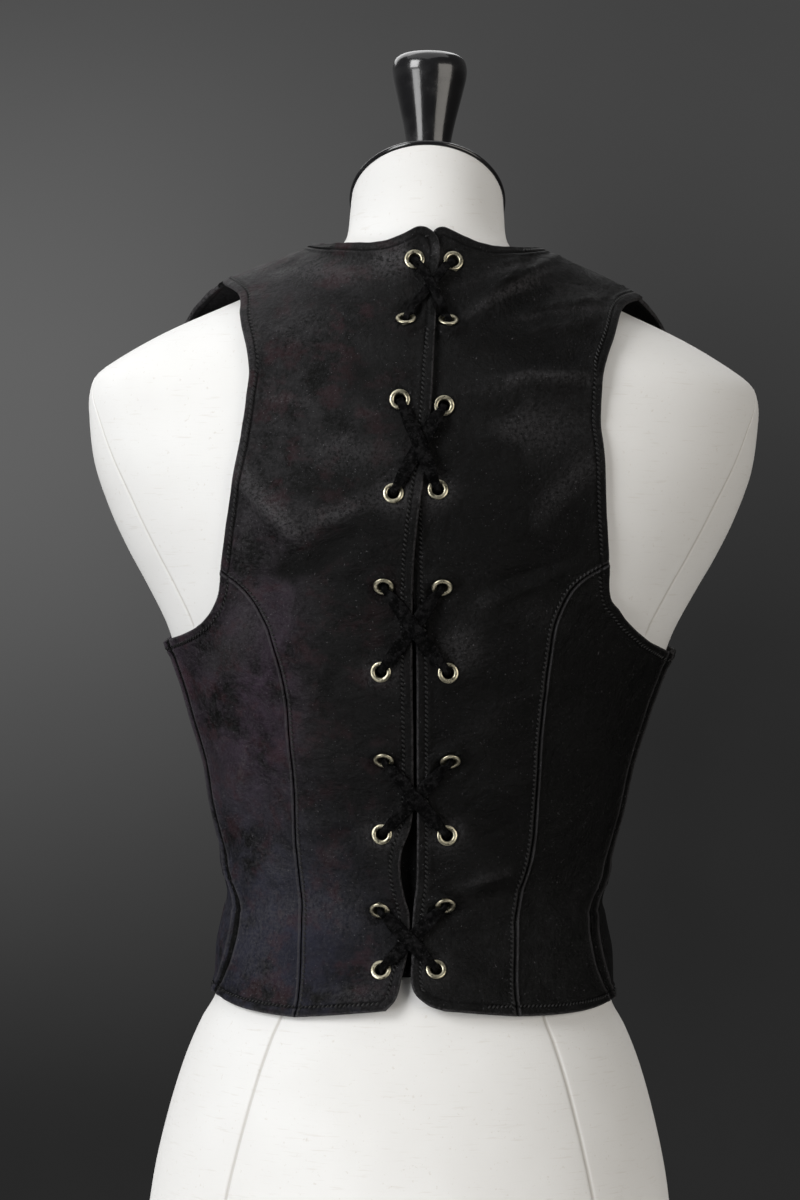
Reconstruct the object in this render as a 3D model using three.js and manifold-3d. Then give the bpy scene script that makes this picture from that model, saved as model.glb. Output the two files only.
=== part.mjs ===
// Leather vest laced up the back, on a limbless dress form. Millimetres, +Z up, the back faces +Y.
// The origin is the middle of the form's flat bottom. +X is the wearer's left.
import * as THREE from "three";
import { mergeVertices } from "three/addons/utils/BufferGeometryUtils.js";
import Module from "manifold-3d";

const wasm = await Module();
wasm.setup();

// Driving sizes of the vest
const WALL = 1.8; // leather, one layer
const TURNED_EDGE = 0.8; // more thickness where an edge is turned and stitched down
const SEAM_GAP = 0.6;
const OVERLAP_LIFT = 3.5; // how far the left edge stands above the right one
const UNDERLAP = { half: 30, wall: 1.2, clear: 0.9, bottom: 238, top: 664 };

// Driving sizes of the hardware
const EYELET = {
  bore: 3.2,
  barrel: 3.7,
  hole: 4.2,
  washer: 5.8,
  flange: 6.2,
  crownOut: 0.4, // the crown of the flange lies this far out of the middle of its width
  crest: 1.4,
  seat: 0.55,
  rolled: 0.9, // how far the barrel is rolled out behind the washer
  sides: 10,
};
const LACE = { width: 8.2, thick: 1.2, bunched: 4, bunchedThick: 1.8, clear: 0.6, tucked: 24 };

// Driving sizes of the form
const NECK_TILT = 0.58; // the neck is cut on a slope that falls to the front
const CAP = { overhang: 0.9, rounded: 0.6, rim: 2.8, dome: 12, clear: 0.3, sides: 28 };
const CAP_DOME = [{ out: -9, share: 0.45 }, { out: -24, share: 0.86 }]; // rings of the dome, inwards
const BUST = { angle: 146, spread: 21, height: 445, reach: 46, lift: 24, bridged: 0.9 };

// Sections of the form: height, half width, depth behind and before the axis
const FORM = [
  { z: 0, half: 157, back: 112, front: 100 },
  { z: 60, half: 161, back: 119, front: 108 },
  { z: 99, half: 157.5, back: 120, front: 110 },
  { z: 136, half: 150, back: 117, front: 110 },
  { z: 173, half: 139.4, back: 110, front: 107 },
  { z: 197, half: 129.5, back: 103, front: 104 },
  { z: 209, half: 122.5, back: 100, front: 102 },
  { z: 220, half: 119, back: 97, front: 100 },
  { z: 245, half: 116.5, back: 88, front: 95 },
  { z: 265, half: 113, back: 83, front: 91 },
  { z: 286, half: 111, back: 80, front: 90 },
  { z: 307, half: 113, back: 81, front: 91 },
  { z: 332, half: 120, back: 84, front: 95 },
  { z: 357, half: 127, back: 89, front: 99 },
  { z: 381, half: 135, back: 93, front: 102 },
  { z: 400, half: 141, back: 96, front: 105 },
  { z: 424, half: 150, back: 99, front: 109 },
  { z: 440, half: 156, back: 101, front: 111 },
  { z: 462, half: 167.6, back: 103, front: 112 },
  { z: 484, half: 180, back: 105, front: 111 },
  { z: 507, half: 191, back: 105.5, front: 108 },
  { z: 536, half: 201.2, back: 103, front: 100 },
  { z: 568, half: 205.2, back: 97, front: 86 },
  { z: 580, half: 204.6, back: 94, front: 80 },
  { z: 590, half: 200.2, back: 91, front: 76 },
  { z: 602, half: 183.5, back: 87, front: 70.5 },
  { z: 617, half: 157, back: 81, front: 64 },
  { z: 632, half: 124, back: 73.5, front: 58 },
  { z: 648, half: 88, back: 65.5, front: 53 },
  { z: 656, half: 69, back: 61.5, front: 51 },
  { z: 663, half: 57, back: 58.5, front: 50 },
  { z: 670, half: 50.6, back: 55.5, front: 49.5 },
  { z: 677, half: 48.4, back: 52.5, front: 50 },
  { z: 687, half: 47.4, back: 50.5, front: 52 },
  { z: 698, half: 46.5, back: 49.5, front: 55 },
];
const NECK_TOP = 698;
const NECK_BEND = 642; // the slope of the neck begins here
const FORM_SIDES = 40;
const FORM_HEIGHTS = [
  0, 45, 90, 130, 165, 190, 202, 212, 224, 244, 265, 287, 312, 340, 370, 400, 424, 442, 458, 474, 492,
  512, 535, 556, 572, 585, 595, 604, 613, 623, 633, 643, 653, 662, 670, 680, NECK_TOP,
];

// Room between the form and the leather, at five angles round the body
const ROOM_ANGLES = { spine: 0, blade: 40, side: 90, bust: 144, front: 180 };
const ROOM = [
  { z: 205, spine: 6.5, blade: 3, side: 1.2, bust: 3, front: 2.5 },
  { z: 240, spine: 6.5, blade: 3.2, side: 2.8, bust: 3, front: 3 },
  { z: 262, spine: 7, blade: 4, side: 2.6, bust: 4, front: 4 },
  { z: 290, spine: 8, blade: 5.5, side: 5.2, bust: 5, front: 6 },
  { z: 310, spine: 8, blade: 6, side: 6.6, bust: 5, front: 7 },
  { z: 335, spine: 7.5, blade: 5, side: 5.5, bust: 4.5, front: 7 },
  { z: 360, spine: 7, blade: 4, side: 3.4, bust: 3.5, front: 6 },
  { z: 424, spine: 6.5, blade: 2.6, side: 3.1, bust: 3, front: 4 },
  { z: 470, spine: 6.5, blade: 1.2, side: 3.5, bust: 2.6, front: 4 },
  { z: 570, spine: 6.5, blade: 1.1, side: 6, bust: 3, front: 4 },
  { z: 605, spine: 7, blade: 3.5, side: 9, bust: 5, front: 4 },
  { z: 630, spine: 7.3, blade: 6, side: 11.5, bust: 7, front: 5 },
  { z: 637, spine: 7.5, blade: 7, side: 13.2, bust: 8, front: 5 },
  { z: 650, spine: 7.8, blade: 8, side: 12.6, bust: 8.5, front: 5.5 },
  { z: 661, spine: 8, blade: 8, side: 8.8, bust: 8.5, front: 6 },
  { z: 676, spine: 8, blade: 8, side: 8, bust: 8, front: 6 },
];

const LEAST_ROOM = 0.9;

// Largest folds: from and to are degrees round the body from the spine, rise is negative for a trough
const FOLDS = [
  { from: 27, fromZ: 480, to: 9, toZ: 496, width: 9, rise: -3 },
  { from: 17, fromZ: 545, to: 9, toZ: 556, width: 7, rise: -1.8 },
  { from: 30, fromZ: 530, to: 21, toZ: 494, width: 8, rise: 2.2 },
  { from: -18, fromZ: 640, to: -70, toZ: 650, width: 6, rise: 2 },
  { from: -9, fromZ: 617, to: -47, toZ: 631, width: 6, rise: 2 },
  { from: -16, fromZ: 586, to: -31, toZ: 588, width: 8, rise: 1.8 },
  { from: -12, fromZ: 456, to: -27, toZ: 466, width: 8, rise: -1.8 },
  { from: 52, fromZ: 270, to: 116, toZ: 276, width: 7, rise: -2 },
  { from: 56, fromZ: 288, to: 104, toZ: 296, width: 7, rise: 1.6 },
  { from: -52, fromZ: 272, to: -112, toZ: 274, width: 7, rise: -2 },
  { from: -58, fromZ: 290, to: -100, toZ: 293, width: 7, rise: 1.6 },
  { from: 20, fromZ: 268, to: 42, toZ: 276, width: 8, rise: -1.8 },
  { from: -18, fromZ: 262, to: -40, toZ: 272, width: 8, rise: -1.8 },
  { from: 132, fromZ: 282, to: 168, toZ: 276, width: 8, rise: -1.8 },
  { from: -138, fromZ: 280, to: -166, toZ: 288, width: 8, rise: -1.8 },
];
const STIFF = { eyelets: 24, free: 40 }; // the folds die out towards the eyelets
const FOLD_RADIUS = 120; // turns an angle round the body into a length along it
const FOLD_ENDS = { start: 0.15, span: 0.7 }; // a fold is low at both ends and highest between
const LIFTED = { from: 402, to: 434, near: 28, far: 62 }; // heights and widths over which the overlap rises

// Laced edges of the two back panels, x and z on the outer face, from the hem to the neck corner
const EDGE_LEFT = [
  [16, 217], [10, 224], [6.9, 236], [3.6, 251], [3.2, 272], [6, 281], [8.8, 296], [8.2, 308], [3, 324],
  [2.6, 370], [3.8, 410], [4.4, 462], [3.9, 480], [1.7, 505], [-1.9, 535], [-4.6, 572], [-5.4, 597],
  [-6.2, 619], [-7, 649], [-8, 661], [-6.5, 669], [-1, 674.5], [5, 675.5],
];
const EDGE_RIGHT = [
  [-18, 217.5], [-8, 221], [0.4, 229], [1.6, 248], [1.2, 272], [-0.5, 290], [-0.5, 308], [0, 338],
  [0.7, 370], [1.5, 410], [3, 437], [5, 462], [6, 480], [7, 500], [7.4, 516], [6.2, 545], [4.6, 570],
  [3.2, 618], [0, 650], [-1.5, 665], [-4, 673], [-9, 676],
];
const NECK_LEFT = [[13.6, 671.2], [26.6, 666.6], [48, 666.6]];
const NECK_RIGHT = [[-16, 673.5], [-25, 669.5], [-36, 666.6], [-50, 666.4]];
const EDGE_KNEE = 12; // the point of both edges that lies level with the top of the princess seam

// Princess seams and armholes of the back, x and z on the outer face
const PRINCESS_LEFT = [
  [69.3, 210.2], [66.5, 246], [67.4, 276.7], [70.4, 307], [72.2, 338.6], [74.8, 369.5], [78, 397.6],
  [83.5, 421], [91, 441], [102, 457.5], [117.6, 470.8],
];
const PRINCESS_RIGHT = [
  [-61, 213.4], [-59, 241], [-60, 268], [-62.5, 286], [-67.7, 307], [-70.2, 338.6], [-71, 369.5],
  [-73.4, 400.5], [-76, 425], [-80.5, 448], [-91.3, 466.5], [-110, 479],
];
const ARMHOLE_LEFT = [
  [116.2, 484], [114.4, 499], [111.6, 518], [108, 541], [105.2, 561], [103.5, 578], [103, 590], [105.5, 604],
  [110, 622], [112, 636],
];
const ARMHOLE_RIGHT = [
  [-108.4, 500], [-107.3, 520], [-106, 543], [-104, 561], [-104.2, 578], [-105, 590], [-109, 604],
  [-114.5, 622], [-120, 634],
];

// Side seams, armpits and shoulders: degrees round the body from the spine, and height on the form
const SHOULDER_NECK = { t: 90, h: 660.5 };
const SHOULDER_END = { left: { t: 90, h: 635.2 }, right: { t: 90, h: 630.8 } };
const SIDE_SEAM = [
  { t: 74, h: 214.5 }, { t: 70, h: 226 }, { t: 65, h: 242 }, { t: 64.5, h: 260 }, { t: 70, h: 280 },
  { t: 75.5, h: 308 }, { t: 76, h: 350 }, { t: 75.5, h: 400 },
];
const SIDE_TOP = { left: { t: 76, h: 430 }, right: { t: 76, h: 427.5 } };
const ARMPIT_BACK = {
  left: [
    { t: 45, h: 458.5 }, { t: 48, h: 450.5 }, { t: 52, h: 443.5 }, { t: 57.5, h: 437.5 }, { t: 65.5, h: 433 },
  ],
  right: [
    { t: 42, h: 458 }, { t: 45.5, h: 452 }, { t: 49, h: 446 }, { t: 54, h: 440 }, { t: 61.5, h: 433.5 },
  ],
};
const ARMPIT_FRONT = [
  { t: 124, h: 461 }, { t: 117, h: 447 }, { t: 109, h: 437 }, { t: 98, h: 431 }, { t: 86, h: 429 },
];
const SIDE_HEM_DIP = 1.6; // how far the hem of a side panel hangs below the chord between its seams
const PRINCESS_FRONT = [
  { t: 146, h: 213 }, { t: 145, h: 250 }, { t: 144, h: 290 }, { t: 145, h: 330 }, { t: 147, h: 370 },
  { t: 148, h: 410 }, { t: 148, h: 437 }, { t: 145, h: 456 }, { t: 139, h: 470 }, { t: 131, h: 480 },
];
const ARMHOLE_FRONT = [
  { t: 129, h: 500 }, { t: 128.5, h: 525 }, { t: 129, h: 550 }, { t: 128, h: 575 }, { t: 124, h: 595 },
  { t: 116, h: 612 }, { t: 104, h: 624 },
];
const FRONT_FOLD = { hem: 214, breast: 488, neck: 505 };
const ON_FOLD = 179.5; // degrees from which a place counts as on the fold
const FRONT_KNEE = 470;
const NECK_FRONT = [
  { t: 176, h: 510 }, { t: 168, h: 530 }, { t: 158, h: 560 }, { t: 147, h: 590 }, { t: 136, h: 615 },
  { t: 124, h: 634 }, { t: 112, h: 647 }, { t: 100, h: 656 },
];

// Eyelets in pairs from the neck down: x of each and z of each, on the outer face
const EYELET_ROWS = [
  { left: 6.9, leftZ: 655, right: -15.8, rightZ: 655 },
  { left: 11.3, leftZ: 618, right: -13.4, rightZ: 618 },
  { left: 13.9, leftZ: 570.5, right: -11.7, rightZ: 567.6 },
  { left: 16.6, leftZ: 516, right: -8.9, rightZ: 518.6 },
  { left: 21.2, leftZ: 462.7, right: -12.3, rightZ: 462.7 },
  { left: 22.2, leftZ: 413, right: -16.7, rightZ: 413 },
  { left: 19.6, leftZ: 362, right: -18.9, rightZ: 362 },
  { left: 20.1, leftZ: 318, right: -17.9, rightZ: 318 },
  { left: 20.4, leftZ: 273.6, right: -17.5, rightZ: 277 },
  { left: 19.2, leftZ: 239.5, right: -12.8, rightZ: 240.5 },
];

// How many cells the panels have along their length and across
const SEAM_ROWS = 16;
const STRAP_ROWS = 20;
const CENTRE_COLUMNS = [0, 0.06, 0.16, 0.28, 0.42, 0.6, 0.8, 1];
const BACK_SIDE_COLUMNS = [0, 0.14, 0.3, 0.48, 0.7, 1];
const FRONT_SIDE_COLUMNS = [0, 0.15, 0.3, 0.45, 0.6, 0.74, 0.87, 1];
const ARMPIT_STEPS = 50;
const HEM_FADE = 8; // how fast the dip of the hem fades up the panel
const UNDERLAP_ROWS = 18;
const UNDERLAP_COLUMNS = [0, 0.2, 0.4, 0.6, 0.8, 1];
const PLACING = { rounds: 30, pace: 0.7, proud: 8, least: 0.25 }; // how a place behind x, z is found
const FRONT_COLUMNS = [0, 0.2, 0.4, 0.6, 0.8, 1];

const FINISH = {
  leather: new THREE.MeshStandardMaterial({ color: 0x26242a, roughness: 0.62, metalness: 0 }),
  lace: new THREE.MeshStandardMaterial({ color: 0x141316, roughness: 0.85, metalness: 0 }),
  linen: new THREE.MeshStandardMaterial({ color: 0xe6e2da, roughness: 0.95, metalness: 0 }),
  brass: new THREE.MeshStandardMaterial({ color: 0xb6a27c, roughness: 0.35, metalness: 0.9 }),
  lacquer: new THREE.MeshStandardMaterial({ color: 0x08080a, roughness: 0.12, metalness: 0 }),
};

// Smooth curve through one column of a table, at a height
function column(table, key, z) {
  const last = table.length - 1;
  if (z <= table[0].z) return table[0][key];
  if (z >= table[last].z) return table[last][key];
  const i = table.findIndex((row) => row.z > z) - 1;
  const slope = (k) => {
    const a = table[Math.max(k - 1, 0)];
    const b = table[Math.min(k + 1, last)];
    return (b[key] - a[key]) / (b.z - a.z);
  };
  const span = table[i + 1].z - table[i].z;
  const f = (z - table[i].z) / span;
  return (
    table[i][key] * (1 + 2 * f) * (1 - f) ** 2 +
    table[i + 1][key] * f * f * (3 - 2 * f) +
    span * (slope(i) * f * (1 - f) ** 2 - slope(i + 1) * f * f * (1 - f))
  );
}

const smooth = (low, high, v) => THREE.MathUtils.smoothstep(v, low, high);
const radians = THREE.MathUtils.degToRad;

// Angle from the spine, in degrees from 0 at the spine to 180 at the front, whichever side
const turn = (t) => Math.abs(((((t + 180) % 360) + 360) % 360) - 180);

// How far the bust stands out at an angle and height. Cloth bridges the hollow between the two sides.
function bust(t, h, bridged) {
  const off = (turn(t) - BUST.angle) / BUST.spread;
  const round = Math.exp(-off * off);
  const level = Math.exp(-(((h - BUST.height) / BUST.reach) ** 2));
  return BUST.lift * level * (off > 0 ? Math.max(round, bridged) : round);
}

// A point of the form's skin, or of the body that the cloth spans when bridged
function skin(t, h, bridged = 0) {
  const sine = Math.sin(radians(t));
  const cosine = Math.cos(radians(t));
  const x = column(FORM, "half", h) * sine;
  const y =
    cosine >= 0 ? column(FORM, "back", h) * cosine : column(FORM, "front", h) * cosine - bust(t, h, bridged);
  const slope = NECK_TILT * smooth(NECK_BEND, NECK_TOP, h);
  return new THREE.Vector3(x, y, h + slope * y);
}

function normal(t, h, bridged = BUST.bridged) {
  const across = skin(t + 1, h, bridged).sub(skin(t - 1, h, bridged));
  const up = skin(t, h + 1, bridged).sub(skin(t, h - 1, bridged));
  return up.cross(across).normalize();
}

function room(t, h) {
  const angle = turn(t);
  const names = Object.keys(ROOM_ANGLES);
  const i = names.findIndex((name, k) => k > 0 && angle <= ROOM_ANGLES[name]) - 1;
  const f = smooth(ROOM_ANGLES[names[i]], ROOM_ANGLES[names[i + 1]], angle);
  return column(ROOM, names[i], h) * (1 - f) + column(ROOM, names[i + 1], h) * f;
}

function folds(t, h) {
  let sum = 0;
  for (const fold of FOLDS) {
    const along = new THREE.Vector2(radians(fold.to - fold.from) * FOLD_RADIUS, fold.toZ - fold.fromZ);
    const here = new THREE.Vector2(radians(t - fold.from) * FOLD_RADIUS, h - fold.fromZ);
    const f = THREE.MathUtils.clamp(here.dot(along) / along.lengthSq(), 0, 1);
    const off = here.distanceTo(along.clone().multiplyScalar(f)) / fold.width;
    sum += fold.rise * Math.sin(Math.PI * (FOLD_ENDS.start + FOLD_ENDS.span * f)) * Math.exp(-off * off);
  }
  const x = Math.abs(column(FORM, "half", h) * Math.sin(radians(t)));
  return turn(t) < 90 ? sum * smooth(STIFF.eyelets, STIFF.free, x) : sum;
}

// How far the left back panel is lifted over the right one
function lift(t, h) {
  const x = column(FORM, "half", h) * Math.sin(radians(t));
  return OVERLAP_LIFT * smooth(LIFTED.from, LIFTED.to, h) * (1 - smooth(LIFTED.near, LIFTED.far, x));
}

// A point on the leather. rise is measured out from its inner face.
function leather(t, h, rise, side) {
  const lifted = side === "left" ? lift(t, h) : 0;
  const loose = Math.max(room(t, h) + folds(t, h), LEAST_ROOM);
  return skin(t, h, BUST.bridged).addScaledVector(normal(t, h), loose + lifted + rise);
}

// Angle and height on the form behind a point x, z of the back's outer face
function behind([x, z], side) {
  let h = z;
  const share = THREE.MathUtils.clamp(x / (column(FORM, "half", h) + PLACING.proud), -1, 1);
  let t = THREE.MathUtils.radToDeg(Math.asin(share));
  for (let i = 0; i < PLACING.rounds; i++) {
    const loose = room(t, h) + (side === "left" ? lift(t, h) : 0);
    const p = skin(t, h, BUST.bridged).addScaledVector(normal(t, h), loose + WALL);
    h += PLACING.pace * (z - p.z);
    const girth = radians(1) * column(FORM, "half", h) * Math.max(Math.cos(radians(t)), PLACING.least);
    t += (PLACING.pace * (x - p.x)) / girth;
  }
  return { t, h };
}

// A smooth line through places on the body, as many evenly spaced points as asked for
function line(places, steps) {
  const curve = new THREE.CatmullRomCurve3(
    places.map((p) => new THREE.Vector3(radians(p.t) * FOLD_RADIUS, p.h, 0)),
  );
  curve.arcLengthDivisions = 400;
  const angle = (p) => THREE.MathUtils.radToDeg(p.x / FOLD_RADIUS);
  return curve.getSpacedPoints(steps).map((p) => ({ t: angle(p), h: p.y }));
}

// An edge of a panel in two stretches that meet at the knee
const twoStretches = (lower, upper) => [...line(lower, SEAM_ROWS), ...line(upper, STRAP_ROWS).slice(1)];

// Moves a line along the body, away from the seam that it follows
const shifted = (places, amount) =>
  places.map(({ t, h }) => {
    const degree = leather(t + 0.5, h, 0, "front").distanceTo(leather(t - 0.5, h, 0, "front"));
    return { t: t + amount / degree, h };
  });

// The same places with only the last one moved round the body
const lastShifted = (places, amount) => [...places.slice(0, -1), ...shifted(places.slice(-1), amount)];

// Cells of a panel between two edges. columns are shares of the way from inner to outer. top bends the last
// row to a line, and dip lowers the middle of the first.
function cells(inner, outer, columns, open, top, dip = 0) {
  const points = [];
  const quads = [];
  const rows = inner.length;
  const across = columns.length;
  inner.forEach((a, j) => {
    const b = outer[j];
    const v = j / (rows - 1);
    columns.forEach((u, i) => {
      const p = { t: a.t + (b.t - a.t) * u, h: a.h + (b.h - a.h) * u };
      if (top) {
        const bend = top(u);
        p.t += v * v * (bend.t - top(0).t - (top(1).t - top(0).t) * u);
        p.h += v * v * (bend.h - top(0).h - (top(1).h - top(0).h) * u);
      }
      p.h -= dip * Math.sin(Math.PI * u) * (1 - v) ** HEM_FADE;
      p.edge = open(i, j, across - 1, rows - 1) ? 1 : 0;
      points.push(p);
      if (i && j) {
        const k = points.length - 1;
        quads.push([k - across - 1, k - across, k, k - 1]);
      }
    });
  });
  return { points, quads };
}

// Joins a half panel and its mirror image along the fold
function unfolded(half) {
  const points = [...half.points];
  const twin = half.points.map((p) => {
    if (p.t === 180) return half.points.indexOf(p);
    return points.push({ ...p, t: -p.t }) - 1;
  });
  const quads = half.quads.map(([a, b, c, d]) => [b, c, d, a]);
  const twins = quads.map(([a, b, c, d]) => [a, d, c, b].map((k) => twin[k]));
  return { points, quads: [...quads, ...twins] };
}

// Closed geometry from positions and triangles, turned so that its faces point out
function closed(positions, triangles) {
  let volume = 0;
  for (const [a, b, c] of triangles) {
    volume += positions[a].dot(positions[b].clone().cross(positions[c]));
  }
  const index = triangles.flatMap(([a, b, c]) => (volume < 0 ? [a, c, b] : [a, b, c]));
  const geometry = new THREE.BufferGeometry().setFromPoints(positions);
  geometry.setIndex(index);
  return geometry;
}

// A wall over cells: outer face, inner face and the cut edge all round
function wall({ points, quads }, outerAt, innerAt) {
  const count = points.length;
  const positions = [...points.map(outerAt), ...points.map(innerAt)];
  const triangles = [];
  const edges = new Map();
  for (const [a, b, c, d] of quads) {
    triangles.push([a, b, c], [a, c, d]);
    triangles.push([a + count, c + count, b + count], [a + count, d + count, c + count]);
    for (const [from, to] of [[a, b], [b, c], [c, d], [d, a]]) {
      if (!edges.delete(`${to}-${from}`)) edges.set(`${from}-${to}`, [from, to]);
    }
  }
  for (const [from, to] of edges.values()) {
    triangles.push([from, from + count, to + count], [from, to + count, to]);
  }
  return closed(positions, triangles);
}

const panel = (grid, side) =>
  wall(
    grid,
    (p) => leather(p.t, p.h, WALL + TURNED_EDGE * p.edge, side),
    (p) => leather(p.t, p.h, 0, side),
  );

// manifold-3d solid of a closed geometry, and back
function solid(geometry) {
  const bare = geometry.clone();
  bare.deleteAttribute("normal");
  bare.deleteAttribute("uv");
  const merged = mergeVertices(bare, 1e-3);
  return new wasm.Manifold(
    new wasm.Mesh({
      numProp: 3,
      vertProperties: merged.attributes.position.array,
      triVerts: new Uint32Array(merged.index.array),
    }),
  );
}

function surface(made) {
  const mesh = made.getMesh();
  const geometry = new THREE.BufferGeometry();
  geometry.setAttribute("position", new THREE.BufferAttribute(mesh.vertProperties, 3));
  geometry.setIndex(new THREE.BufferAttribute(mesh.triVerts, 1));
  return geometry;
}

const group = new THREE.Group();

function add(name, geometry, finish) {
  geometry.computeVertexNormals();
  const mesh = new THREE.Mesh(geometry, finish);
  mesh.name = name;
  group.add(mesh);
  return mesh;
}

// Where an eyelet sits: its centre on the outer face, the direction out, and the direction up
function eyeletPlace(x, z, side) {
  const { t, h } = behind([x, z], side);
  const centre = leather(t, h, WALL, side);
  const across = leather(t + 2, h, WALL, side).sub(leather(t - 2, h, WALL, side));
  const up = leather(t, h + 4, WALL, side).sub(leather(t, h - 4, WALL, side)).normalize();
  return { x, z, side, centre, out: up.clone().cross(across).normalize(), up };
}
const eyelets = EYELET_ROWS.map((row) => ({
  left: eyeletPlace(row.left, row.leftZ, "left"),
  right: eyeletPlace(row.right, row.rightZ, "right"),
}));

const standingOn = (place) =>
  new THREE.Matrix4().compose(
    place.centre,
    new THREE.Quaternion().setFromUnitVectors(new THREE.Vector3(0, 1, 0), place.out),
    new THREE.Vector3(1, 1, 1),
  );

function eyeletHole(place) {
  const depth = 4 * WALL;
  const punch = new THREE.CylinderGeometry(EYELET.hole, EYELET.hole, depth, EYELET.sides);
  return solid(punch.applyMatrix4(standingOn(place)));
}

function eyelet(place) {
  const inside = -WALL - EYELET.seat;
  const profile = [
    [EYELET.bore, EYELET.crest],
    [EYELET.bore, inside - EYELET.rolled],
    [EYELET.washer, inside],
    [EYELET.barrel, inside],
    [EYELET.barrel, EYELET.seat],
    [EYELET.flange, EYELET.seat],
    [(EYELET.bore + EYELET.flange) / 2 + EYELET.crownOut, EYELET.crest],
    [EYELET.bore, EYELET.crest],
  ].map(([r, y]) => new THREE.Vector2(r, y));
  const ring = new THREE.LatheGeometry(profile, EYELET.sides);
  return surface(solid(ring)).applyMatrix4(standingOn(place));
}

// Back panels, side panels and front panels
function backPanels(side) {
  const left = side === "left";
  const sign = left ? 1 : -1;
  const on = (list) => list.map((p) => behind(p, side));
  const atSide = (p) => ({ t: sign * p.t, h: p.h });
  const edge = on(left ? EDGE_LEFT : EDGE_RIGHT);
  const neck = on(left ? NECK_LEFT : NECK_RIGHT);
  const princess = on(left ? PRINCESS_LEFT : PRINCESS_RIGHT);
  const armhole = on(left ? ARMHOLE_LEFT : ARMHOLE_RIGHT);
  const seamTop = princess.at(-1);
  const inner = twoStretches(edge.slice(0, EDGE_KNEE + 1), [
    ...edge.slice(EDGE_KNEE),
    ...neck,
    atSide(SHOULDER_NECK),
  ]);
  const outer = twoStretches(princess, [seamTop, ...armhole, atSide(SHOULDER_END[side])]);
  const half = (sign * SEAM_GAP) / 2;
  const atShoulder = (places) => lastShifted(places, -half);
  const seam = outer.slice(0, SEAM_ROWS + 1);
  const centre = cells(
    atShoulder(inner),
    atShoulder([...shifted(seam, -half), ...outer.slice(SEAM_ROWS + 1)]),
    CENTRE_COLUMNS,
    (i, j, across) => i === 0 || j === 0 || (i === across && j > SEAM_ROWS),
  );
  let body = solid(panel(centre, side));
  for (const row of eyelets) {
    body = body.subtract(eyeletHole(row[side]));
  }
  add(`back_centre_${side}`, surface(body), FINISH.leather);

  const sideSeam = line([...SIDE_SEAM, SIDE_TOP[side]].map(atSide), SEAM_ROWS);
  const sideOpen = (i, j, across, rows) => j === 0 || j === rows;
  const sidePanel = (name, inside, columns, armpit, away) => {
    const along = line([inside.at(-1), ...armpit.map(atSide), sideSeam.at(-1)], ARMPIT_STEPS);
    const top = (u) => along[Math.round(u * ARMPIT_STEPS)];
    const outside = shifted(sideSeam, -away);
    const grid = cells(shifted(inside, away), outside, columns, sideOpen, top, SIDE_HEM_DIP);
    add(`${name}_${side}`, panel(grid, side), FINISH.leather);
  };
  const frontSeam = line(PRINCESS_FRONT.map(atSide), SEAM_ROWS);
  sidePanel("back_side", seam, BACK_SIDE_COLUMNS, ARMPIT_BACK[side], half);
  sidePanel("front_side", frontSeam, FRONT_SIDE_COLUMNS, ARMPIT_FRONT, -half);
}

function frontCentre() {
  const fold = [FRONT_FOLD.hem, FRONT_KNEE].map((h) => ({ t: 180, h }));
  const belowNeck = [FRONT_KNEE, FRONT_FOLD.breast, FRONT_FOLD.neck].map((h) => ({ t: 180, h }));
  const inner = twoStretches(fold, [...belowNeck, ...NECK_FRONT, SHOULDER_NECK]);
  const end = (SHOULDER_END.left.h + SHOULDER_END.right.h) / 2;
  const outer = twoStretches(PRINCESS_FRONT, [PRINCESS_FRONT.at(-1), ...ARMHOLE_FRONT, { t: 90, h: end }]);
  const half = SEAM_GAP / 2;
  const atShoulder = (places) => lastShifted(places, half);
  const seam = outer.slice(0, SEAM_ROWS + 1);
  const grid = cells(
    atShoulder(inner),
    atShoulder([...shifted(seam, half), ...outer.slice(SEAM_ROWS + 1)]),
    FRONT_COLUMNS,
    (i, j, across) => j === 0 || (i === across && j > SEAM_ROWS) || (i === 0 && inner[j].t < ON_FOLD),
  );
  grid.points.forEach((p) => {
    if (p.t > ON_FOLD) p.t = 180;
  });
  add("front_centre", panel(unfolded(grid), "front"), FINISH.leather);
}

function underlap() {
  const heights = Array.from({ length: UNDERLAP_ROWS + 1 }, (_, j) =>
    THREE.MathUtils.lerp(UNDERLAP.bottom, UNDERLAP.top, j / UNDERLAP_ROWS),
  );
  const edge = (sign) => heights.map((z) => behind([sign * UNDERLAP.half, z], "right"));
  const grid = cells(edge(-1), edge(1), UNDERLAP_COLUMNS, () => false);
  const at = (rise) => (p) => skin(p.t, p.h).addScaledVector(normal(p.t, p.h), UNDERLAP.clear + rise);
  add("underlap", wall(grid, at(UNDERLAP.wall), at(0)), FINISH.leather);
}

// How the lace lies: where it starts to climb on to the left edge, its stretches between eyelets, how it
// widens away from them, and how far it stays over the other lace
const CLIMB = { from: 12, to: 5 };
const CROSSING = { steps: 7, middle: 0.17, widened: 0.3, turned: [0.15, 0.35], over: 0.5 };
const HIDDEN = { steps: 4, narrower: 1 };
const EDGE_FRONT = 21; // points of the left edge below its neck corner

// Height of the leather over the face of the right panel, beside and over the overlap
function overRight(x, z) {
  const edge = EDGE_LEFT.slice(0, EDGE_FRONT);
  const i = Math.max(edge.findIndex((p) => p[1] > z) - 1, 0);
  const f = THREE.MathUtils.clamp((z - edge[i][1]) / (edge[i + 1][1] - edge[i][1]), 0, 1);
  const x0 = edge[i][0] + (edge[i + 1][0] - edge[i][0]) * f;
  const { t, h } = behind([x, z], "right");
  return lift(t, h) * smooth(x0 - CLIMB.from, x0 - CLIMB.to, x);
}

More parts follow.
